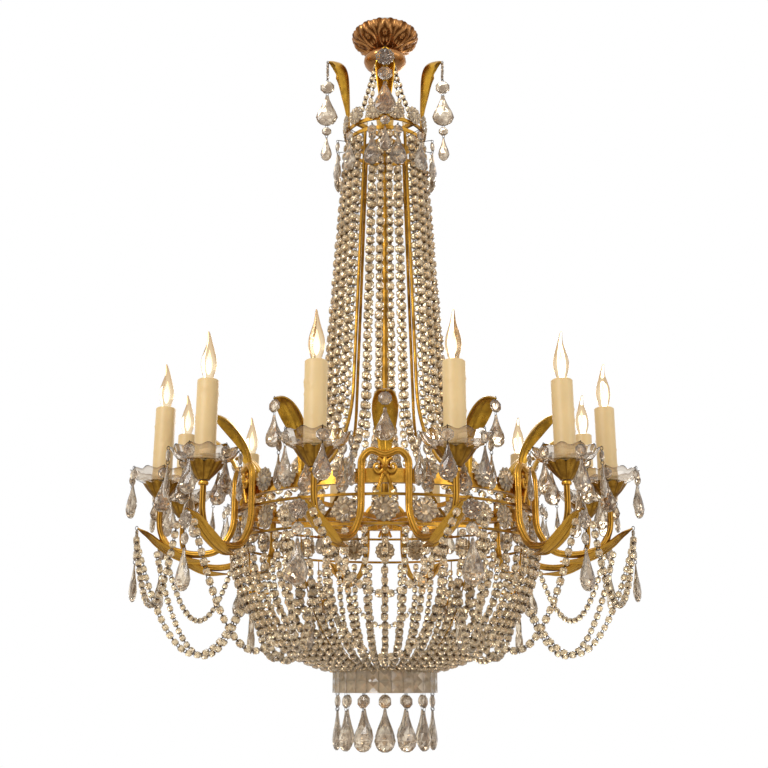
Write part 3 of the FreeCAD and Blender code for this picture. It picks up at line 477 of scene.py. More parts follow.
def between(points, steps):
    """A smooth line of points through the given ones."""
    line = []
    ends = [points[0]] + list(points) + [points[-1]]
    for i in range(1, len(ends) - 2):
        a, b, c, d = ends[i - 1:i + 3]
        for k in range(steps):
            t = k / steps
            line.append(tuple(0.5 * (2 * q + (r - p) * t + (2 * p - 5 * q + 4 * r - e) * t ** 2
                                     + (3 * q - p - 3 * r + e) * t ** 3) for p, q, r, e in zip(a, b, c, d)))
    line.append(tuple(points[-1]))
    return line


def rounded(points):
    """Straight runs whose corners are eased, as a list of points."""
    share, steps = 0.45, 6
    line = [points[0]]
    for before, corner, after in zip(points, points[1:], points[2:]):
        reach = share * min((corner - before).length, (after - corner).length)
        first = corner + (before - corner).normalized() * reach
        last = corner + (after - corner).normalized() * reach
        for k in range(steps + 1):
            t = k / steps
            line.append(first * (1 - t) ** 2 + corner * (2 * t * (1 - t)) + last * t ** 2)
    line.append(points[-1])
    return line


def arc_line(start, along, end, steps):
    """Points of the arc that leaves start in a direction and reaches end, in the XZ plane."""
    chord = end - start
    normal = Vector((along.z, 0, -along.x))
    if normal.dot(chord) < 0:
        normal.negate()
    radius = chord.length_squared / (2 * normal.dot(chord))
    centre = start + normal * radius
    arm = start - centre
    angle = arm.angle(end - centre)
    axis = arm.cross(end - centre).normalized()
    return [centre + Matrix.Rotation(angle * k / steps, 3, axis) @ arm for k in range(steps + 1)]


def walk(line, pitch, first=0.5):
    """Centres and directions at an even pitch along a line of points."""
    spots = []
    travelled, wanted = 0.0, pitch * first
    for a, b in zip(line, line[1:]):
        run = (b - a).length
        while wanted <= travelled + run:
            spots.append((a.lerp(b, (wanted - travelled) / run), (b - a).normalized()))
            wanted += pitch
        travelled += run
    return spots


def aimed(spot, spin=0.0, scale=(1, 1, 1)):
    """A place whose Z runs along a line."""
    centre, along = spot
    turn = along.to_track_quat("Z", "Y").to_matrix().to_4x4()
    return Matrix.Translation(centre) @ turn @ Matrix.Rotation(spin, 4, "Z") @ Matrix.Diagonal((*scale, 1))


def rod_along(name, line, radius, sides=8, lobes=0, radii=None):
    """A bar swept along points, plain or reeded."""
    path = bpy.data.curves.new(name, "CURVE")
    path.dimensions = "3D"
    path.twist_mode = "MINIMUM"
    path.use_fill_caps = True
    spline = path.splines.new("POLY")
    spline.points.add(len(line) - 1)
    for i, (point, where) in enumerate(zip(spline.points, line)):
        point.co = (*where, 1)
        point.radius = radii[i] if radii else 1.0
    section = bpy.data.curves.new(name + "_section", "CURVE")
    ring = section.splines.new("POLY")
    ring.points.add(sides - 1)
    ring.use_cyclic_u = True
    for k, point in enumerate(ring.points):
        angle = math.tau * k / sides
        far = radius * (0.74 + 0.26 * abs(math.cos(lobes / 2 * (angle - math.pi / 4))) if lobes else 1)
        point.co = (far * math.cos(angle), far * math.sin(angle), 0, 1)
    shape = bpy.data.objects.new(name + "_section", section)
    bar = bpy.data.objects.new(name, path)
    for item in (shape, bar):
        bpy.context.scene.collection.objects.link(item)
    path.bevel_mode = "OBJECT"
    path.bevel_object = shape
    pick(bar)
    bpy.ops.object.convert(target="MESH")
    bpy.data.objects.remove(shape)
    piece = current()
    bpy.ops.object.mode_set(mode="EDIT")
    bpy.ops.mesh.select_all(action="SELECT")
    bpy.ops.mesh.remove_doubles(threshold=1e-6)
    bpy.ops.mesh.normals_make_consistent(inside=False)
    bpy.ops.object.mode_set(mode="OBJECT")
    if lobes:
        tree = KDTree(len(line))
        for i, where in enumerate(line):
            tree.insert(where, i)
        tree.balance()

        def reeds(co):
            _, i, far = tree.find(co)
            size = radii[i] if radii else 1
            # Painted shade: the grooves between the reeds, and the thinner parts of the bar, are painted
            # darker.
            return 3.6 * (0.98 - far / (radius * size)) + 2.5 * (1 - size)

        reshape(piece, lambda co: co, reeds)
    return piece


# --- glass and wire patterns -------------------------------------------------------------------------------

def cut(name, rings, sides, depth=None):
    """A turned form with every other ring turned by half a facet, so that its facets come out as lozenges."""
    piece = turned(name, rings, sides)

    def stagger(co):
        i = min(range(len(rings)), key=lambda k: abs(co.z - rings[k][0]))
        _, deep, wide = rings[i]
        angle = math.atan2(co.y / wide, co.x / deep) + i % 2 * math.pi / sides
        return Vector((deep * math.cos(angle), wide * math.sin(angle), co.z))

    reshape(piece, stagger, depth)
    return piece


def bead(diameter, tall):
    """A faceted barrel bead about its middle."""
    r = diameter / 2
    outline = [(-0.5, 0.5), (-0.31, 0.94), (0, 1), (0.31, 0.94), (0.5, 0.5)]
    # Painted shade: the bead's two ends are darker, as a dark outline.
    return cut("bead", [(z * tall, share * r, share * r) for z, share in outline], 8,
               lambda co: 4.2 * abs(co.z) / tall - 1.15)


def octagon(size, thick):
    """A cut octagon that faces out and hangs from its top."""
    r = size / 2 / math.cos(math.pi / 8)
    outline = [(-0.5, 0.4), (-0.32, 0.75), (0, 1), (0.32, 0.75), (0.5, 0.4)]
    # Painted shade: the octagon's rim is darker.
    piece = cut("octagon", [(z * thick, share * r, share * r) for z, share in outline], 8,
                lambda co: 0.6 * (math.hypot(co.x, co.y) > 0.9 * r))
    piece.data.transform(Matrix.Translation((0, 0, -size / 2)) @ Matrix.Rotation(math.pi / 2, 4, "Y"))
    return piece


def pear(tall, wide, deep):
    """A cut pendant with a narrow neck and a broad faceted foot."""
    outline = [(1.0, 0.26), (0.96, 0.58), (0.87, 0.87), (0.73, 1.0), (0.55, 0.84), (0.34, 0.48), (0.15, 0.24),
               (0.0, 0.14)]
    rings = [(-tall * down, deep / 2 * share, wide / 2 * share) for down, share in outline]
    # Painted shade at the neck and along the two sides of the pendant.
    return cut("pear", rings, 10, lambda co: max(0.5 * (co.z > -0.2 * tall), 0.6 * (abs(co.y) > 0.36 * wide)))


def icicle(tall, wide):
    """A long cut drop, widest near its point."""
    outline = [(1.0, 0.1), (0.82, 1.0), (0.66, 0.86), (0.5, 0.7), (0.33, 0.65), (0.16, 0.6), (0.0, 0.2)]
    return cut("icicle", [(-tall * down, wide / 2 * share, wide / 2 * share) for down, share in outline], 6)


def rosette(size, thick):
    """A pressed flower of twelve petals with a raised centre, facing out and hung from its top."""
    r = size / 2
    outline = [(0.8, -0.5), (1, -0.1), (0.97, 0.15), (0.72, 0.42), (0.4, 0.1), (0.3, 0.34), (0.14, 0.5)]
    piece = spun("rosette", [(share * r, z * thick) for share, z in outline], 24)

    def valley(co):
        """How deep between two petals a point lies, from 0 to 1."""
        return 0.5 - 0.5 * math.cos(12 * math.atan2(co.y, co.x) + math.pi / 2)

    def petals(co):
        far = math.hypot(co.x, co.y)
        if far < 0.5 * r:
            return co
        pull = 1 - 0.11 * valley(co) * (far / r)
        return Vector((co.x * pull, co.y * pull, co.z * (1 - 0.55 * valley(co)) if co.z > 0 else co.z))

    # Painted shade between the petals and in a ring round the raised centre.
    def dents(co):
        far = math.hypot(co.x, co.y) / r
        return 0.85 * valley(co) ** 2 if far > 0.5 else 0.7 * (far > 0.35)

    reshape(piece, petals, dents)
    piece.data.transform(Matrix.Translation((0, 0, -r)) @ Matrix.Rotation(math.pi / 2, 4, "Y"))
    return piece


def ring_link(radius, wire):
    """A small wire link."""
    deselect()
    bpy.ops.mesh.primitive_torus_add(major_segments=8, minor_segments=4, major_radius=radius,
                                     minor_radius=wire, rotation=(math.pi / 2, 0, 0))
    piece = current()
    bpy.ops.object.transform_apply(location=True, rotation=True, scale=True)
    piece.scale = (1, 1, 1.35)
    bpy.ops.object.transform_apply(location=True, rotation=True, scale=True)
    return piece


def hang(name, body, items, places, node, turn=0.0):
    """Chains of glass pieces, one under another, at each place; the links are a piece of their own."""
    parts, link_spots = [], []
    level = 0.0
    for i, pattern in enumerate(items):
        link_spots.append(level - LINK_RUN / 2)
        level -= LINK_RUN
        hung = Matrix.Translation((0, 0, level)) @ Matrix.Rotation(math.radians(turn if i else 0), 4, "Z")
        parts.append(copies(name + "_part", pattern, [place @ hung for place in places]))
        level -= max(-vertex.co.z for vertex in pattern.data.vertices)
    glass = joined(name + "_glass", parts)
    put(glass, body, "crystal_glass", "Pendant Glass", node)
    link = ring_link(2.3 * MM, 0.5 * MM)
    wires = copies(name + "_links", link, [place @ Matrix.Translation((0, 0, spot)) for place in places
                                          for spot in link_spots])
    put(wires, body, "gilt_brass", "Bead Wire")
    drop_pattern(link)


def strand_set(name, line, turns, pitch, pattern, chance, node, wire=0.8 * MM):
    """Bead strands of the frame along one line, turned to each azimuth, with wire links between the beads."""
    spots = walk(line, pitch)
    bead_places, link_places = [], []
    for turn in turns:
        for centre, along in spots:
            size = 1 + chance.uniform(-0.09, 0.07)
            sway = Vector((chance.uniform(-1, 1), chance.uniform(-1, 1), chance.uniform(-1, 1))) * 0.7 * MM
            spin = chance.uniform(0, math.pi / 4)
            bead_places.append(turn @ aimed((centre + sway, along), spin, (size, size, size)))
        for (centre, along), (after, _) in zip(spots, spots[1:]):
            link_places.append(turn @ aimed(((centre + after) / 2, along), chance.uniform(0, math.pi)))
    beads = copies(name + "_beads", pattern, bead_places)
    put(beads, "frame", "crystal_glass", "Bead Glass", node)
    link = ring_link(2.5 * MM, wire)
    links = copies(name + "_links", link, link_places)
    put(links, "frame", "gilt_brass", "Bead Wire")
    drop_pattern(link, pattern)


def leaf(name, stations, steps, across, thick, cup, reeds):
    """A metal leaf from a grid: stations are (out, up, half width) from its foot to its tip."""
    line = between(stations, steps)
    widest = max(half for _, _, half in stations)
    deselect()
    bpy.ops.mesh.primitive_grid_add(x_subdivisions=len(line) - 1, y_subdivisions=across, size=2)
    piece = current()
    piece.name = name

    def lay(co):
        i = min(round((co.x + 1) / 2 * (len(line) - 1)), len(line) - 1)
        out, up, half = line[i]
        before, after = line[max(i - 1, 0)], line[min(i + 1, len(line) - 1)]
        along = Vector((after[0] - before[0], 0, after[1] - before[1])).normalized()
        face = Vector((along.z, 0, -along.x))
        side = co.y
        ridge = math.exp(-(side / 0.16) ** 2) * 1.6 * MM
        groove = reeds * math.cos(side * math.pi * 5) * (1 - abs(side)) * MM
        lift = cup * half ** 2 / widest * (side ** 2) + (ridge + groove) * min(1.0, half / (8 * MM))
        return Vector((out, 0, up)) + face * lift + Vector((0, half * side, 0))

    # Painted shade in two creases on each side of the leaf.
    def creases(co):
        side = abs(co.y)
        return 0.85 * math.exp(-((side - 0.2) / 0.08) ** 2) + 0.5 * math.exp(-((side - 0.58) / 0.07) ** 2)

    reshape(piece, lay, creases)
    finish_with(piece, "SOLIDIFY", thickness=thick, offset=0)
    smooth(piece, 50)
    return piece


# --- operators ---------------------------------------------------------------------------------------------

class ChandelierPart:
    """What every operator of this file shares."""

    bl_options = {"REGISTER", "UNDO"}

    @property
    def sizes(self):
        return bpy.context.scene.chandelier_sizes

    @property
    def counts(self):
        return bpy.context.scene.chandelier_counts

    def pair_azimuths(self):
        return [360 * k / self.counts.pairs for k in range(self.counts.pairs)]


class CHANDELIER_OT_materials(ChandelierPart, bpy.types.Operator):
    """Makes the finishes and gives the frame's own parts theirs"""

    bl_idname = "chandelier.materials"
    bl_label = "Finishes"

    def execute(self, context):
        c = context.scene.chandelier_colours
        tone_and_shade_group()
        facet_group()
        gilt, shade, glass, tint = c.gilt, c.gilt_dark, c.glass, c.glass_dark
        metal("Gilt Brass", gilt, shade, 45.0, 0.55, 0.25)
        metal("Rod Gilt", tinted(gilt, 0.68), shade, 30.0, 0.7, 0.25)
        metal("Leaf Gilt", [0.82 * gilt[0], 0.86 * gilt[1], 0.68 * gilt[2]], shade, 70.0, 0.4, 0.3)
        metal("Arm Leaf Gilt", tinted(gilt, 0.72), shade, 120.0, 0.2, 0.3)
        metal("Cup Gilt", tinted(gilt, 0.6), shade, 80.0, 0.55, 0.3)
        metal("Canopy Copper", c.copper, c.copper_dark, 85.0, 0.35, 0.3)
        metal("Bead Wire", c.wire, tinted(c.wire, 0.5), 200.0, 0.6, 0.1)
        metal("Plated Steel", (0.55, 0.55, 0.53), (0.25, 0.25, 0.24), 120.0, 0.4, 0.15)
        clear = [0.3 + 0.69 * part for part in glass]
        crystal("Bead Glass", glass, tint, 0.2, 75.0, 0.03, 0.8)
        crystal("Pendant Glass", clear, tint, 0.8, 60.0, 0.02, 0.85)
        crystal("Rosette Glass", glass, tint, 0.45, 110.0, 0.06, 0.6)
        crystal("Dish Glass", [0.5 + 0.48 * part for part in clear], tint, 0.3, 30.0, 0.02)
        wax_material("Candle Wax", c.wax)
        bulb_material("Bulb Glass", c.glow)
        glow_material("Bulb Glow", c.glow)
        holder_material("Holder Black")
        finishes = {
            "plated_steel": "Plated Steel", "aged_copper": "Canopy Copper", "gilt_brass": "Gilt Brass",
            "crystal_glass": "Pendant Glass", "candle_wax": "Candle Wax", "lamp_holder": "Holder Black",
            "bulb_glass": "Bulb Glass"}
        for part in frame["record"]["subparts"]:
            paint(frame["nodes"][part["node"]], finishes[part["material_slot"]])
        for node in ("central_stem", "tent_rods", "basket_ribs", "gallery_hoop", "basket_hoop"):
            paint(frame["nodes"][node], "Rod Gilt")
        return {"FINISHED"}


class CHANDELIER_OT_canopy(ChandelierPart, bpy.types.Operator):
    """Models the cast canopy with its scalloped rim and scroll work, and the collar under it"""

    bl_idname = "chandelier.canopy"
    bl_label = "Canopy and Collar"

    def execute(self, context):
        s = self.sizes
        r, deep = s.canopy_radius, s.canopy_depth
        outline = [(0.27, -1.0), (0.33, -0.95), (0.40, -0.87), (0.48, -0.78), (0.57, -0.69), (0.66, -0.61),
                   (0.75, -0.53), (0.82, -0.46), (0.89, -0.38), (0.94, -0.3), (0.975, -0.22), (0.995, -0.14),
                   (1.0, -0.06), (0.985, 0)]
        shell = spun("canopy_casting", between([(r * a, deep * b) for a, b in outline], 3), 288, False)

        def relief(co):
            """Eight pairs of scrolls, each round a small flower, with a spine between the pairs."""
            share = min(max((math.hypot(co.x, co.y) / r - 0.3) / 0.7, 0.0), 1.0)
            across = abs(math.remainder(8 * math.atan2(co.y, co.x) / math.tau, 1))
            scroll = math.exp(-((across - 0.05 - 0.31 * math.sin(math.pi * share ** 0.75)) / 0.065) ** 2)
            spine = math.exp(-((0.5 - across) / 0.05) ** 2) * share
            curls = sum(math.exp(-((across - a) / 0.07) ** 2 - ((share - b) / 0.08) ** 2)
                        for a, b in ((0.17, 0.84), (0.13, 0.27), (0.4, 0.93)))
            along, beside = (share - 0.6) / 0.13, across / 0.12
            petals = 0.6 + 0.4 * math.cos(6 * math.atan2(beside, along))
            flower = math.exp(-((along ** 2 + beside ** 2) ** 2)) * petals
            return min(1.0, max(scroll, spine, curls, flower)) * min(1.0, 4 * share)

        def carve(co):
            far = math.hypot(co.x, co.y)
            edge = max(0.0, far / r - 0.86) / 0.14
            lobe = abs(math.cos(18 * math.atan2(co.y, co.x)))
            pull = 1 - 0.05 * edge * (1 - lobe ** 0.6)
            rise = 4.6 * MM * relief(co) * (1 - 0.5 * edge)
            return Vector((co.x * pull, co.y * pull, max(co.z - rise, -deep - 1.5 * MM)))

        # The ground between the relief is painted darker: partly the copper's own patina, partly painted
        # shade.
        reshape(shell, carve, lambda co: 0.95 - 1.5 * relief(co))
        finish_with(shell, "SOLIDIFY", thickness=1.5 * MM, offset=-1)
        smooth(shell, 60)
        put(shell, "ceiling_mount", "aged_copper", "Canopy Copper", "canopy")

        top, tall, wide = -s.collar_top, s.collar_height, s.collar_radius
        bore = 6.9 * MM
        steps = 14
        outline = [(bore, top - tall)]
        for k in range(1, steps):
            angle = math.pi * k / steps
            level = top + (-tall / 2 - tall / 2 * math.cos(angle))
            outline.append((max(wide * math.sin(angle) ** 0.62, 1.2 * bore), level))
        collar = spun("collar_ball", outline + [(bore, top)], 96, False)

        def gadroon(co):
            far = math.hypot(co.x, co.y)
            dent = 0.015 * (1 - abs(math.cos(12 * math.atan2(co.y, co.x)))) * min(1, far / wide)
            return Vector((co.x * (1 - dent), co.y * (1 - dent), co.z))

        reshape(collar, gadroon)
        smooth(collar, 60)
        put(collar, "frame", "aged_copper", "Canopy Copper", "canopy_collar")
        return {"FINISHED"}


class CHANDELIER_OT_crown(ChandelierPart, bpy.types.Operator):
    """Models the crown: leaves, rosettes, pendants and the drops under it"""

    bl_idname = "chandelier.crown"
    bl_label = "Crown"

    def execute(self, context):
        s, chance = self.sizes, random.Random(self.counts.seed)
        quarters = [0, 90, 180, 270]
        half, reach = s.crown_leaf_width / 2, s.crown_leaf_reach
        heights = [s.crown_front_leaf, s.crown_side_leaf] * 2
        shape = [(0, 0, 0.3), (0, 0.2, 0.32), (0, 0.42, 0.58), (0.01, 0.62, 0.82), (0.05, 0.8, 0.96),
                 (0.17, 0.91, 1), (0.4, 0.97, 0.94), (0.7, 0.995, 0.7), (0.9, 1, 0.42), (1, 0.995, 0.12)]
        foot = s.crown_low + 3.5 * MM
        made = []
        for azimuth, tall in zip(quarters, heights):
            stations = [(x * reach, z * tall, w * half) for x, z, w in shape]
            one = leaf("crown_leaf", stations, 4, 16, 2 * MM, 1.3, 0.35)
            one.data.transform(round_turn(azimuth, s.leaf_foot_radius, foot))
            made.append(one)
        leaves = joined("crown_gilt_leaves", made)
        put(leaves, "frame", "gilt_brass", "Leaf Gilt", "crown_leaves")

        flower = rosette(s.rosette, 6 * MM)
        ring = [15 + 30 * k for k in range(12)]
        top = s.crown_drop - s.rosette + 3.5 * MM
        face = s.crown_radius + 4.8 * MM
        flowers = copies("crown_flowers", flower, [round_turn(a, face, top) for a in ring])
        put(flowers, "frame", "crystal_glass", "Rosette Glass", "crown_rosettes")

        big, small = octagon(27 * MM, 7 * MM), octagon(18 * MM, 7 * MM)
        pendalogue, tail = pear(66 * MM, 43 * MM, 14 * MM), pear(49.6 * MM, 22.1 * MM, 11 * MM)
        tip_radius = s.leaf_foot_radius + reach + HOOK_OUT
        for k, (azimuth, tall) in enumerate(zip(quarters, heights), 1):
            hang(f"crown_pendant_{k}", f"pendant_{k}", [flower, big, pendalogue, small, tail],
                 [round_turn(azimuth, tip_radius, foot - tall - 1 * MM)], f"crown_pendant_{k}", azimuth)

        drop = pear(57 * MM, 34 * MM, 14 * MM)
        pin_start, pin_run = s.crown_radius + 1.5 * MM, 19 * MM
        pin_end = pin_start + pin_run - 0.8 * MM
        hang("crown_fringe", "frame", [small, drop],
             [round_turn(a, pin_end, s.crown_low + 0.8 * MM) for a in ring], "crown_drops")
        pin = rod_along("crown_pins", [Vector((0, 0, 0)), Vector((pin_run, 0, 0))], 0.7 * MM)
        pins = copies("crown_drop_pins", pin, [round_turn(a, pin_start, s.crown_low) for a in ring])
        put(pins, "frame", "gilt_brass", "Bead Wire")
        drop_pattern(pin, flower, big, small, pendalogue, tail, drop)

        start = Vector((s.collar_radius * 0.55, 0, -s.collar_top - s.collar_height - 1.3 * MM))
        end = Vector((s.crown_radius - 3.7 * MM, 0, -s.crown_drop + 4.8 * MM))
        strand_set("collar_string", [start, end], [round_turn(a) for a in (45, 135, 225, 315)], 16 * MM,
                   bead(9.5 * MM, 13 * MM), chance, "collar_strings")
        return {"FINISHED"}


class CHANDELIER_OT_tent(ChandelierPart, bpy.types.Operator):
    """Models the bead strands that flare from the crown out to the main band"""

    bl_idname = "chandelier.tent"
    bl_label = "Bead Tent"

    def execute(self, context):
        s, n = self.sizes, self.counts
        chance = random.Random(n.seed + 1)
        top = Vector((s.crown_radius, 0, -s.crown_low - 4.3 * MM))
        waist = Vector((s.waist_radius, 0, -s.waist_drop))
        foot = Vector((s.ring_radius - 8 * MM, 0, -s.band_drop + 2.2 * MM))
        line = [top] + arc_line(waist, waist - top, foot, 20)
        turns = [round_turn(360 * (k + 0.5) / n.tent_places) for k in range(n.tent_places)
                 if k % n.rod_every != n.rod_every // 2]
        strand_set("tent", line, turns, 18.4 * MM, bead(s.tent_bead, 15.4 * MM), chance, "tent_strands")
        return {"FINISHED"}


class CHANDELIER_OT_ring(ChandelierPart, bpy.types.Operator):
    """Models the rosettes and standing leaves of the main ring"""

    bl_idname = "chandelier.ring"
    bl_label = "Main Ring"

    def execute(self, context):
        s = self.sizes
        face = s.ring_radius + BAND_OUT
        size = 40 * MM
        leg = math.degrees(math.atan2(s.leg_spread, face))
        wide = math.degrees(size / face)
        side = leg + math.degrees(6.3 * MM / face) + wide / 2
        free = 360 / self.counts.pairs - 2 * side
        ring = [a + side + free * k / 3 for a in self.pair_azimuths() for k in range(4)]
        flower = rosette(size, 6 * MM)
        top = s.band_drop + BAND_HALF - size
        flowers = copies("band_flowers", flower, [round_turn(a, face + 3.3 * MM, top) for a in ring])
        put(flowers, "frame", "crystal_glass", "Rosette Glass", "band_rosettes")
        low = rosette(40.4 * MM, 6 * MM)
        low_flowers = copies("basket_flowers", low, [round_turn(a, face - 2 * MM, s.gallery_drop + 2.3 * MM)
                                                     for a in ring + self.pair_azimuths()])
        put(low_flowers, "frame", "crystal_glass", "Rosette Glass", "basket_rosettes")

        half, reach, tall = s.ring_leaf_width / 2, s.ring_leaf_reach, s.ring_leaf_height
        shape = [(0, 0, 0.4), (0.01, 0.2, 0.45), (0.04, 0.4, 0.6), (0.16, 0.62, 0.85), (0.38, 0.83, 1),
                 (0.62, 0.96, 0.9), (0.84, 1, 0.6), (1, 0.95, 0.2)]
        stations = [(x * reach, z * tall, w * half) for x, z, w in shape]
        one = leaf("ring_leaf", stations, 4, 14, 2 * MM, 0.5, 0.4)
        foot_radius = s.ring_radius - 3 * MM
        foot = s.band_drop - BAND_HALF
        places = [30 * k for k in range(12)]
        leaves = copies("band_gilt_leaves", one, [round_turn(a, foot_radius, foot) for a in places])
        put(leaves, "frame", "gilt_brass", "Leaf Gilt", "ring_leaves")
        stone, drop = octagon(19.8 * MM, 7 * MM), pear(49.6 * MM, 30 * MM, 14 * MM)
        hang("ring_leaf_drop", "frame", [stone, drop],
             [round_turn(a, foot_radius + reach + HOOK_OUT, foot - 0.95 * tall - 1 * MM) for a in places],
             "ring_leaf_drops")
        drop_pattern(flower, low, one, stone, drop)
        return {"FINISHED"}


class ArmLine:
    """The upright plane of one arm, from its leg to its candle."""

    def __init__(self, s):
        self.s = s
        face = s.ring_radius + BAND_OUT
        leg = math.sqrt((face + 2 * CLEAR + s.arm_tube / 2) ** 2 - s.leg_spread ** 2)
        self.foot = Vector((leg, s.leg_spread, 0))
        turn = math.radians(CANDLE_TURN)
        candle = Vector((s.candle_circle * math.cos(turn), s.candle_circle * math.sin(turn), 0))
        self.span = (candle - self.foot).length
        self.along = (candle - self.foot).normalized()
        self.tip_share = 1 + TIP_REACH / self.span

    def point(self, share, drop):
        spot = self.foot + self.along * (share * self.span)
        return Vector((spot.x, spot.y, -drop))

    def hook(self):
        """Radius of the drop under the leaf's tip, and its degrees from the pair's middle."""
        tip = self.point(self.tip_share + HOOK_OUT / self.span, TIP_DROP)
        return math.hypot(tip.x, tip.y), math.degrees(math.atan2(tip.y, tip.x))


class CHANDELIER_OT_arms(ChandelierPart, bpy.types.Operator):
    """Models the reeded double arms, the leaves under them and the drops at their tips"""

    bl_idname = "chandelier.arms"
    bl_label = "Arms"

    def execute(self, context):
        s = self.sizes
        arm = ArmLine(s)
        bend = s.basket_drop - s.arm_tube
        dip = s.arch_drop + 11 * MM
        corner = s.cup_drop + CLEAR
        half = [Vector((arm.foot.x, 0, -dip)), Vector((arm.foot.x, 0.6 * s.leg_spread, -s.arch_drop)),
                arm.point(0, s.arch_drop + 0.4 * s.leg_spread), arm.point(0, bend),
                arm.point(0.2, s.arm_belly - 5 * MM), arm.point(0.5, s.arm_belly),
                arm.point(0.86, s.arm_belly - 10 * MM), arm.point(1, s.arm_belly - 42 * MM),
                arm.point(1, corner)]
        line = rounded([Vector((p.x, -p.y, p.z)) for p in reversed(half[1:])] + half)
        upright, over = s.candle_circle - 12 * MM, -s.arm_belly + 30 * MM
        # The thinner uprights are also painted darker as shade, through the reeds' groove.
        thin = [0.82 if p.z > over and math.hypot(p.x, p.y) > upright else 1.0 for p in line]
        parts = [rod_along("arm_bar", line, s.arm_tube / 2, 30, 6, thin)]
        # A turned ring on each upright, and scrolls, a fork and a turned spindle between the two legs.
        for side in (-1, 1):
            knurl = spun("knurl", [(8 * a * MM, 7 * b * MM) for a, b in (
                (0.5, -0.5), (0.86, -0.42), (1, 0), (0.86, 0.42), (0.5, 0.5))], 20)
            spot = arm.point(1, corner + 4 * MM)
            knurl.data.transform(Matrix.Translation((spot.x, side * spot.y, spot.z)))
            parts.append(knurl)
            curl = []
            for k in range(26):
                t = k / 25
                far = (11 * (1 - t) + 2.2) * MM
                angle = math.pi / 2 + 1.6 * math.tau * t * 0.8
                curl.append(Vector((arm.foot.x + 1 * MM, side * (11 * MM + far * math.cos(angle) * 0.8),
                                    -dip - 17 * MM + far * math.sin(angle))))
            parts.append(rod_along("scroll", curl, 3.2 * MM, 10, 0, [1 - 0.5 * k / 25 for k in range(26)]))
            eye = spun("scroll_eye", [(2.6 * a * MM, 2.6 * b * MM) for a, b in (
                (0.35, -0.94), (0.8, -0.6), (1, 0), (0.8, 0.6), (0.35, 0.94))], 16)
            eye.data.transform(Matrix.Translation(curl[-1]))
            parts.append(eye)
            fork = [Vector((arm.foot.x, side * 1.5 * MM, -dip - 22 * MM)),
                    Vector((arm.foot.x, side * 5 * MM, -dip - 34 * MM)),
                    Vector((arm.foot.x - 1 * MM, side * 12 * MM, -s.gallery_drop + 5 * MM))]
            parts.append(rod_along("fork", rounded(fork), 2.8 * MM, 10))
        spindle = spun("spindle", [(w * MM, z * MM) for w, z in (
            (2.4, -30), (5.4, -27), (3.2, -23), (7.4, -18), (4, -13), (5, -8), (3, -3), (4, 0))], 20)
        spindle.data.transform(Matrix.Translation((arm.foot.x, 0, -dip)))
        parts.append(spindle)
        pair = joined("arm_pattern", parts)
        smooth(pair, 42)
        for k, azimuth in enumerate(self.pair_azimuths(), 1):
            piece = copies(f"double_arm_{k}", pair, [round_turn(azimuth)])
            put(piece, "frame", "gilt_brass", "Gilt Brass", f"arm_pair_{k}")
        drop_pattern(pair)

        under = s.arm_tube / 2 + 3.5 * MM
        rise = s.arm_belly - TIP_DROP
        shape = [(0.3, -under, 0.12), (0.42, -under, 0.4), (0.6, -under, 0.8), (0.8, -0.6 * MM, 1),
                 (1, 0.34 * rise, 0.95), (1 + 0.55 * (arm.tip_share - 1), 0.75 * rise, 0.7),
                 (arm.tip_share, rise, 0.12)]
        stations = [(a * arm.span, b, w * 15 * MM) for a, b, w in shape]
        one = leaf("arm_leaf", stations, 4, 20, 2 * MM, -0.65, 0.8)
        bearing = math.atan2(arm.along.y, arm.along.x)
        places = [round_turn(azimuth) @ Matrix.Translation((arm.foot.x, side * arm.foot.y, -s.arm_belly))
                  @ Matrix.Rotation(side * bearing, 4, "Z")
                  for azimuth in self.pair_azimuths() for side in (-1, 1)]
        leaves = copies("arm_gilt_leaves", one, places)
        put(leaves, "frame", "gilt_brass", "Arm Leaf Gilt", "arm_leaves")
        drop_pattern(one)

        radius, angle = arm.hook()
        items = [rosette(TIP_ROSETTE, 6 * MM), octagon(18 * MM, 7 * MM), pear(62 * MM, 34 * MM, 14 * MM)]
        hang("arm_tip", "frame", items, [round_turn(a + side * angle, radius, TIP_DROP - 2 * MM)
                                         for a in self.pair_azimuths() for side in (-1, 1)], "arm_leaf_drops")
        drop_pattern(*items)
        return {"FINISHED"}


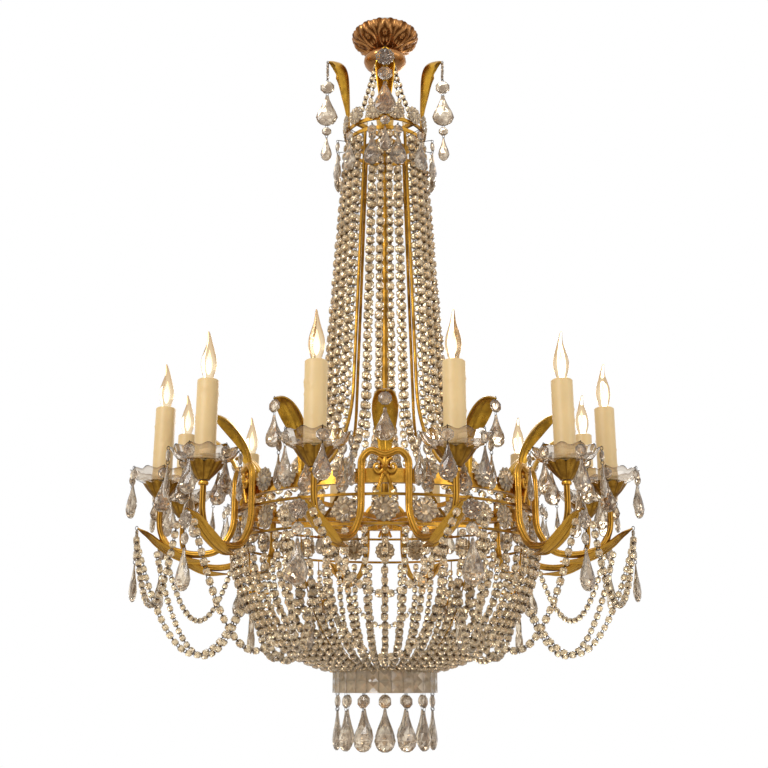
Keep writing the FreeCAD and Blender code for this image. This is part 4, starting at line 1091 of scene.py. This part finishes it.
class CHANDELIER_OT_candles(ChandelierPart, bpy.types.Operator):
    """Models the fluted cups, glass dishes, wax sleeves, flame bulbs and the drops round the dishes"""

    bl_idname = "chandelier.candles"
    bl_label = "Candle Lights"

    def execute(self, context):
        s = self.sizes
        azimuths = sorted(a + side * CANDLE_TURN for a in self.pair_azimuths() for side in (-1, 1))
        places = [round_turn(a, s.candle_circle) for a in azimuths]
        low = -s.cup_drop + CLEAR
        r, tall = s.cup_radius, s.cup_height
        outline = [(0.18, 0), (0.3, 0.0), (0.36, 0.1), (0.5, 0.26), (0.64, 0.43), (0.77, 0.61), (0.89, 0.8),
                   (1.0, 1.0), (0.95, 1.0), (0.84, 0.82), (0.71, 0.62), (0.54, 0.42), (0.36, 0.24),
                   (0.18, 0.1), (0.18, 0)]
        cup = spun("cup", [(r * a, low + tall * b) for a, b in outline], 96, False, True)

        def flute(co):
            share = max(0.0, (co.z - low) / tall)
            lobe = abs(math.cos(5 * math.atan2(co.y, co.x)))
            pull = 1 - 0.16 * share * (1 - lobe ** 0.7)
            return Vector((co.x * pull, co.y * pull, co.z - 3.6 * MM * share ** 3 * (1 - lobe)))

        # Painted shade in the flutes of the cup.
        reshape(cup, flute, lambda co: 1 - 1.4 * abs(math.cos(5 * math.atan2(co.y, co.x))))
        smooth(cup, 50)
        cups = copies("fluted_cups", cup, places)
        put(cups, "frame", "gilt_brass", "Cup Gilt", "candle_cups")

        r, tall, low = s.dish_radius, s.dish_height, -s.cup_drop + s.cup_height + 2 * CLEAR
        outline = [(0.115, 0), (0.5, 0.0), (0.66, 0.1), (0.8, 0.28), (0.91, 0.62), (1.0, 1.0), (0.95, 1.0),
                   (0.84, 0.62), (0.74, 0.36), (0.6, 0.2), (0.5, 0.14), (0.115, 0.14), (0.115, 0)]
        dish = spun("dish", [(r * a, low + tall * b) for a, b in outline], 96, False, True)

        def ripple(co):
            far = math.hypot(co.x, co.y) / r
            wave = math.cos(12 * math.atan2(co.y, co.x))
            share = max(0.0, far - 0.55) / 0.45
            pull = 1 - 0.035 * share * (1 - wave)
            return Vector((co.x * pull, co.y * pull, co.z - 2.2 * MM * share ** 2 * (1 - wave)))

        # Painted shade along the dish's rim and in thin lines along the crests of its ripples.
        reshape(dish, ripple, lambda co: max(0.6 * (math.hypot(co.x, co.y) > 0.94 * r),
                                             0.7 - 5 * abs(math.sin(6 * math.atan2(co.y, co.x)))))
        smooth(dish, 40)
        dishes = copies("glass_dishes", dish, places)
        put(dishes, "frame", "crystal_glass", "Dish Glass", "bobeches")

        floor = low + 3 * MM + CLEAR
        r, tall = s.sleeve_radius, s.sleeve_height
        bore, top = r - 4 * MM, floor + tall
        skin = [(0.97 * r, floor + tall * k / 42) for k in range(1, 42)]
        outline = [(bore, floor), (0.96 * r, floor), *skin, (0.97 * r, top - 1.4 * MM), (0.90 * r, top),
                   (bore, top - 0.8 * MM), (bore, floor)]
        sleeves = []
        chance = random.Random(self.counts.seed + 2)
        for place in places:
            sleeve = spun("sleeve", outline, 48, False, True)
            runs = [(chance.uniform(0, math.tau), chance.uniform(0.25, 0.9), chance.uniform(5, 9))
                    for _ in range(4)]
            nubs = [(chance.uniform(0, math.tau), chance.uniform(0.12, 0.9)) for _ in range(14)]

            def drip(co):
                if math.hypot(co.x, co.y) < 0.93 * r:
                    return co
                angle, share = math.atan2(co.y, co.x), (co.z - floor) / tall
                push = sum(math.exp(-((math.remainder(angle - a, math.tau) * w / 2) ** 2))
                           * max(0.0, share - 1 + reach) / reach for a, reach, w in runs)
                nub = sum(math.exp(-((math.remainder(angle - a, math.tau) * r) ** 2
                                     + ((share - at) * tall) ** 2) / (2.4 * MM) ** 2) for a, at in nubs)
                swell = 1 + 0.022 * min(push, 1.0) + 0.075 * min(nub, 1.0)
                return Vector((co.x * swell, co.y * swell, co.z))

            reshape(sleeve, drip)
            smooth(sleeve, 50)
            sleeve.data.transform(place)
            sleeves.append(sleeve)
        wax = joined("wax_sleeves", sleeves)
        put(wax, "frame", "candle_wax", "Candle Wax", "candle_sleeves")

        low, high = (corner[2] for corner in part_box("bulb_1"))
        neck = low + 18 * MM
        tall = high - neck
        flame = between([(0.6, 0.03), (0.74, 0.12), (0.93, 0.23), (1.0, 0.34), (0.92, 0.46), (0.7, 0.59),
                         (0.42, 0.73), (0.24, 0.86), (0.15, 0.95), (0.06, 0.99)], 3)
        bulb = spun("bulb", [(6 * MM, low), (6 * MM, neck - 0.5 * MM)]
                    + [(12.5 * MM * w, neck + tall * h) for w, h in flame], 32)

        def bent(co):
            share = max(0.0, (co.z - neck) / tall - 0.72) / 0.28
            return Vector((co.x + 3.6 * MM * share ** 1.6, co.y, co.z))

        reshape(bulb, bent)
        smooth(bulb, 50)
        lit = [(0.9, 0.12), (2.3, 0.16), (3.6, 0.22), (4.1, 0.29), (3.6, 0.38), (2.2, 0.47), (0.9, 0.55),
               (0.3, 0.6)]
        glow = spun("glow", [(w * MM, neck + tall * h) for w, h in lit], 20)
        smooth(glow, 60)
        for k, place in enumerate(places, 1):
            glass = copies(f"flame_bulb_{k}", bulb, [place])
            put(glass, f"bulb_{k}_body", "bulb_glass", "Bulb Glass", f"bulb_{k}")
            light = copies(f"bulb_glow_{k}", glow, [place])
            put(light, f"bulb_{k}_body", "bulb_glass", "Bulb Glow")

        stone, drop = octagon(18 * MM, 7 * MM), pear(50.8 * MM, 27.9 * MM, 11 * MM)
        rim = s.cup_drop - s.cup_height - s.dish_height
        hooks = [round_turn(60 * k, s.dish_radius + 1.1 * MM, rim) for k in range(6)]
        hang("dish_fringe", "frame", [stone, drop], [place @ hook for place in places for hook in hooks],
             "bobeche_drops")
        drop_pattern(cup, dish, bulb, glow, stone, drop)
        return {"FINISHED"}


def knob_circle():
    """Radius at which the knobs are drawn, from the depth of the frame's; theirs is about 35 mm more."""
    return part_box("side_knobs")[1].y - KNOB_BALL


class CHANDELIER_OT_basket(ChandelierPart, bpy.types.Operator):
    """Models the bead basket, the tiled bottom ring, the knobs and their icicles"""

    bl_idname = "chandelier.basket"
    bl_label = "Bead Basket"

    def execute(self, context):
        s, n = self.sizes, self.counts
        chance = random.Random(n.seed + 3)
        start = Vector((s.ring_radius + BAND_OUT, 0, -s.basket_drop - 2.3 * MM))
        foot = Vector((s.bottom_radius + 2.4 * MM, 0, -s.bottom_drop + 2.2 * MM))
        line = arc_line(start, Vector((0, 0, -1)), foot, 28)
        turns = [round_turn(360 * k / n.basket_strands) for k in range(n.basket_strands)]
        strand_set("basket", line, turns, 15 * MM, bead(s.basket_bead, 12.6 * MM), chance, "basket_strands",
                   0.7 * MM)

        deselect()
        bpy.ops.mesh.primitive_cube_add(size=1, location=(0, 0, -0.5))
        tile = current()
        bpy.ops.object.transform_apply(location=True, rotation=True, scale=True)
        for vertex in tile.data.vertices:
            vertex.co = Vector((vertex.co.x * 2.6 * MM, vertex.co.y * s.tile, vertex.co.z * s.tile))
        for face in tile.data.polygons:
            face.select = face.normal.x > 0.9
        bpy.ops.object.mode_set(mode="EDIT")
        bpy.ops.mesh.select_mode(type="FACE")
        bpy.ops.mesh.inset(thickness=1.4 * MM, depth=0.9 * MM)
        bpy.ops.mesh.poke(offset=-2.2 * MM)
        bpy.ops.object.mode_set(mode="OBJECT")
        edge = 0.48 * s.tile
        # Painted shade along the edges of each tile.
        reshape(tile, lambda co: co, lambda co: 0.35 * (max(abs(co.y), abs(co.z + s.tile / 2)) > edge))
        count = int(math.tau * s.bottom_radius / (s.tile + 1.475 * MM))
        pitch = s.tile + 0.6 * MM
        places = [round_turn(360 * k / count, s.bottom_radius, s.bottom_drop + row * pitch)
                  for k in range(count) for row in range(2)]
        tiles = copies("ring_tiles", tile, places)
        put(tiles, "frame", "crystal_glass", "Rosette Glass", "bottom_tiles")
        drop_pattern(tile)

        stone, drop = octagon(19.8 * MM, 7 * MM), pear(62 * MM, 34 * MM, 14 * MM)
        fringe, middle = 14, s.bottom_radius - 4.05 * MM
        hang("bottom_fringe", "frame", [stone, drop],
             [round_turn(360 * k / fringe, middle, s.bottom_drop + 2 * pitch) for k in range(fringe)],
             "bottom_drops")

        radius = knob_circle()
        azimuths = [a + 30 for a in self.pair_azimuths()]
        outline = []
        for k in range(1, 10):
            angle = math.pi * k / 10
            waist = 0.93 if k in (4, 6) else 1.0
            outline.append((KNOB_BALL * math.sin(angle) * waist, -KNOB_BALL * math.cos(angle)))
        knob = spun("knob", outline, 20)
        smooth(knob, 40)
        rod = rod_along("knob_rod", [Vector((-28 * MM, 0, 0)), Vector((0, 0, 0))], 1.6 * MM, 10)
        both = joined("knob_pattern", [knob, rod])
        knobs = copies("swag_knobs", both, [round_turn(a, radius, s.knob_drop) for a in azimuths])
        put(knobs, "frame", "gilt_brass", "Gilt Brass", "side_knobs")
        button, point = octagon(12.6 * MM, 7 * MM), icicle(72 * MM, 15 * MM)
        hang("knob_icicle", "frame", [button, point],
             [round_turn(a, radius, s.knob_drop + KNOB_BALL) for a in azimuths], "side_icicles")
        drop_pattern(both, stone, drop, button, point)
        return {"FINISHED"}


class CHANDELIER_OT_swags(ChandelierPart, bpy.types.Operator):
    """Models the slack bead chains between the leaf tips and the knobs"""

    bl_idname = "chandelier.swags"
    bl_label = "Swags"

    def execute(self, context):
        s = self.sizes
        chance = random.Random(self.counts.seed + 4)
        radius, angle = ArmLine(s).hook()
        hook_drop = TIP_DROP - 2 * MM + LINK_RUN + TIP_ROSETTE / 2
        hook_side = TIP_ROSETTE / 2 + SWAG_SIDE
        knob_side = KNOB_BALL + SWAG_SIDE
        knob_corner = knob_side * math.sqrt(0.5)
        knob_radius = knob_circle()

        def spot(azimuth, out, drop, across):
            return round_turn(azimuth, out, drop, across).translation

        runs = []
        for azimuth in self.pair_azimuths():
            runs.append((spot(azimuth - angle, radius, hook_drop, hook_side),
                         spot(azimuth + angle, radius, hook_drop, -hook_side), 115 * MM))
            knob = azimuth + 30
            runs.append((spot(knob, knob_radius, s.knob_drop, knob_side),
                         spot(knob + 60, knob_radius, s.knob_drop, -knob_side), 110 * MM))
            for side in (-1, 1):
                hook = spot(knob + side * (30 - angle), radius, hook_drop, -side * hook_side)
                corner = spot(knob, knob_radius + knob_corner, s.knob_drop, side * knob_corner)
                runs.append((hook, corner, 140 * MM))
        places, links = [], []
        for start, end, sag in runs:
            line = [start.lerp(end, k / 40) - Vector((0, 0, 4 * sag * k / 40 * (1 - k / 40)))
                    for k in range(41)]
            spots = walk(line, 14.6 * MM, 0.4)
            for where in spots:
                size = 1 + chance.uniform(-0.06, 0.06)
                places.append(aimed(where, chance.uniform(0, 0.8), (size, size, size)))
            for (a, along), (b, _) in zip(spots, spots[1:]):
                links.append(aimed(((a + b) / 2, along), chance.uniform(0, math.pi)))
        pattern = bead(s.swag_bead, 11.6 * MM)
        beads = copies("swag_beads", pattern, places)
        put(beads, "frame", "crystal_glass", "Bead Glass", "swags")
        link = ring_link(2.6 * MM, 0.7 * MM)
        wires = copies("swag_links", link, links)
        put(wires, "frame", "gilt_brass", "Bead Wire")
        drop_pattern(pattern, link)
        return {"FINISHED"}


class CHANDELIER_OT_stage(bpy.types.Operator):
    """Sets the plain floor, the white surroundings, the soft lights and the camera"""

    bl_idname = "chandelier.stage"
    bl_label = "Stage"
    bl_options = {"REGISTER", "UNDO"}

    def execute(self, context):
        scene = context.scene
        scene.view_settings.view_transform = "Standard"
        deselect()
        bpy.ops.mesh.primitive_plane_add(size=8, location=(0, 0, -2.2))
        floor = current()
        floor.name = "studio_floor"
        feed(*new_material("Floor White"), {"Base Color": (0.86, 0.86, 0.85, 1), "Roughness": 0.8})
        paint(floor, "Floor White")

        # The surroundings are full white to the camera and in the glass, and softer as light.
        scene.world = bpy.data.worlds.new("Studio")
        scene.world.use_nodes = True
        tree = scene.world.node_tree
        ray = add(tree, "ShaderNodeLightPath").outputs
        seen = combine(tree, "MAXIMUM", ray["Is Camera Ray"], ray["Is Glossy Ray"])
        clear = combine(tree, "MAXIMUM", seen, ray["Is Transmission Ray"])
        strength = spread(tree, clear, 0.0, 1.0, 0.55, 1.0)
        feed(tree, tree.nodes["Background"], {"Color": (1, 1, 1, 1), "Strength": strength})

        for name, place, power, size in (
                ("Key", (-1.6, -2.2, 0.2), 38, 1.2), ("Fill", (2.2, -1.6, -0.8), 16, 1.6),
                ("Rim", (0.6, 2.2, 0.1), 24, 1.2)):
            light = bpy.data.lights.new(name, "AREA")
            light.energy = power
            light.size = size
            lamp = bpy.data.objects.new(name, light)
            lamp.location = place
            lamp.rotation_euler = (Vector(place) - Vector((0, 0, -0.8))).to_track_quat("Z", "Y").to_euler()
            scene.collection.objects.link(lamp)

        lens = bpy.data.cameras.new("Photo Camera")
        lens.lens = 49.2
        lens.sensor_width = 36
        lens.shift_x = -0.0013
        camera = bpy.data.objects.new("Photo Camera", lens)
        camera.location = (0, -1.825, -1.245)
        camera.rotation_euler = (math.radians(106), 0, 0)
        scene.collection.objects.link(camera)
        scene.camera = camera
        return {"FINISHED"}


BUILD_ORDER = [CHANDELIER_OT_materials, CHANDELIER_OT_canopy, CHANDELIER_OT_crown, CHANDELIER_OT_tent,
               CHANDELIER_OT_ring, CHANDELIER_OT_arms, CHANDELIER_OT_candles, CHANDELIER_OT_basket,
               CHANDELIER_OT_swags, CHANDELIER_OT_stage]
SETTINGS = {"chandelier_sizes": ChandelierSizes, "chandelier_counts": ChandelierCounts,
            "chandelier_colours": ChandelierColours}


class CHANDELIER_PT_panel(bpy.types.Panel):
    """Lists the chandelier's steps, sizes and colours"""

    bl_idname = "CHANDELIER_PT_panel"
    bl_label = "Basket Chandelier"
    bl_space_type = "VIEW_3D"
    bl_region_type = "UI"
    bl_category = "Chandelier"

    def draw(self, context):
        for step in BUILD_ORDER:
            self.layout.operator(step.bl_idname)
        for name, settings in SETTINGS.items():
            box = self.layout.box()
            for key in settings.__annotations__:
                box.prop(getattr(context.scene, name), key)


def register():
    for item in [*SETTINGS.values(), *BUILD_ORDER, CHANDELIER_PT_panel]:
        bpy.utils.register_class(item)
    for name, settings in SETTINGS.items():
        setattr(bpy.types.Scene, name, bpy.props.PointerProperty(type=settings))


def unregister():
    for name in SETTINGS:
        delattr(bpy.types.Scene, name)
    for item in reversed([*SETTINGS.values(), *BUILD_ORDER, CHANDELIER_PT_panel]):
        bpy.utils.unregister_class(item)


def main():
    register()
    for step in BUILD_ORDER:
        family, name = step.bl_idname.split(".")
        getattr(getattr(bpy.ops, family), name)()


if __name__ == "__main__":
    main()
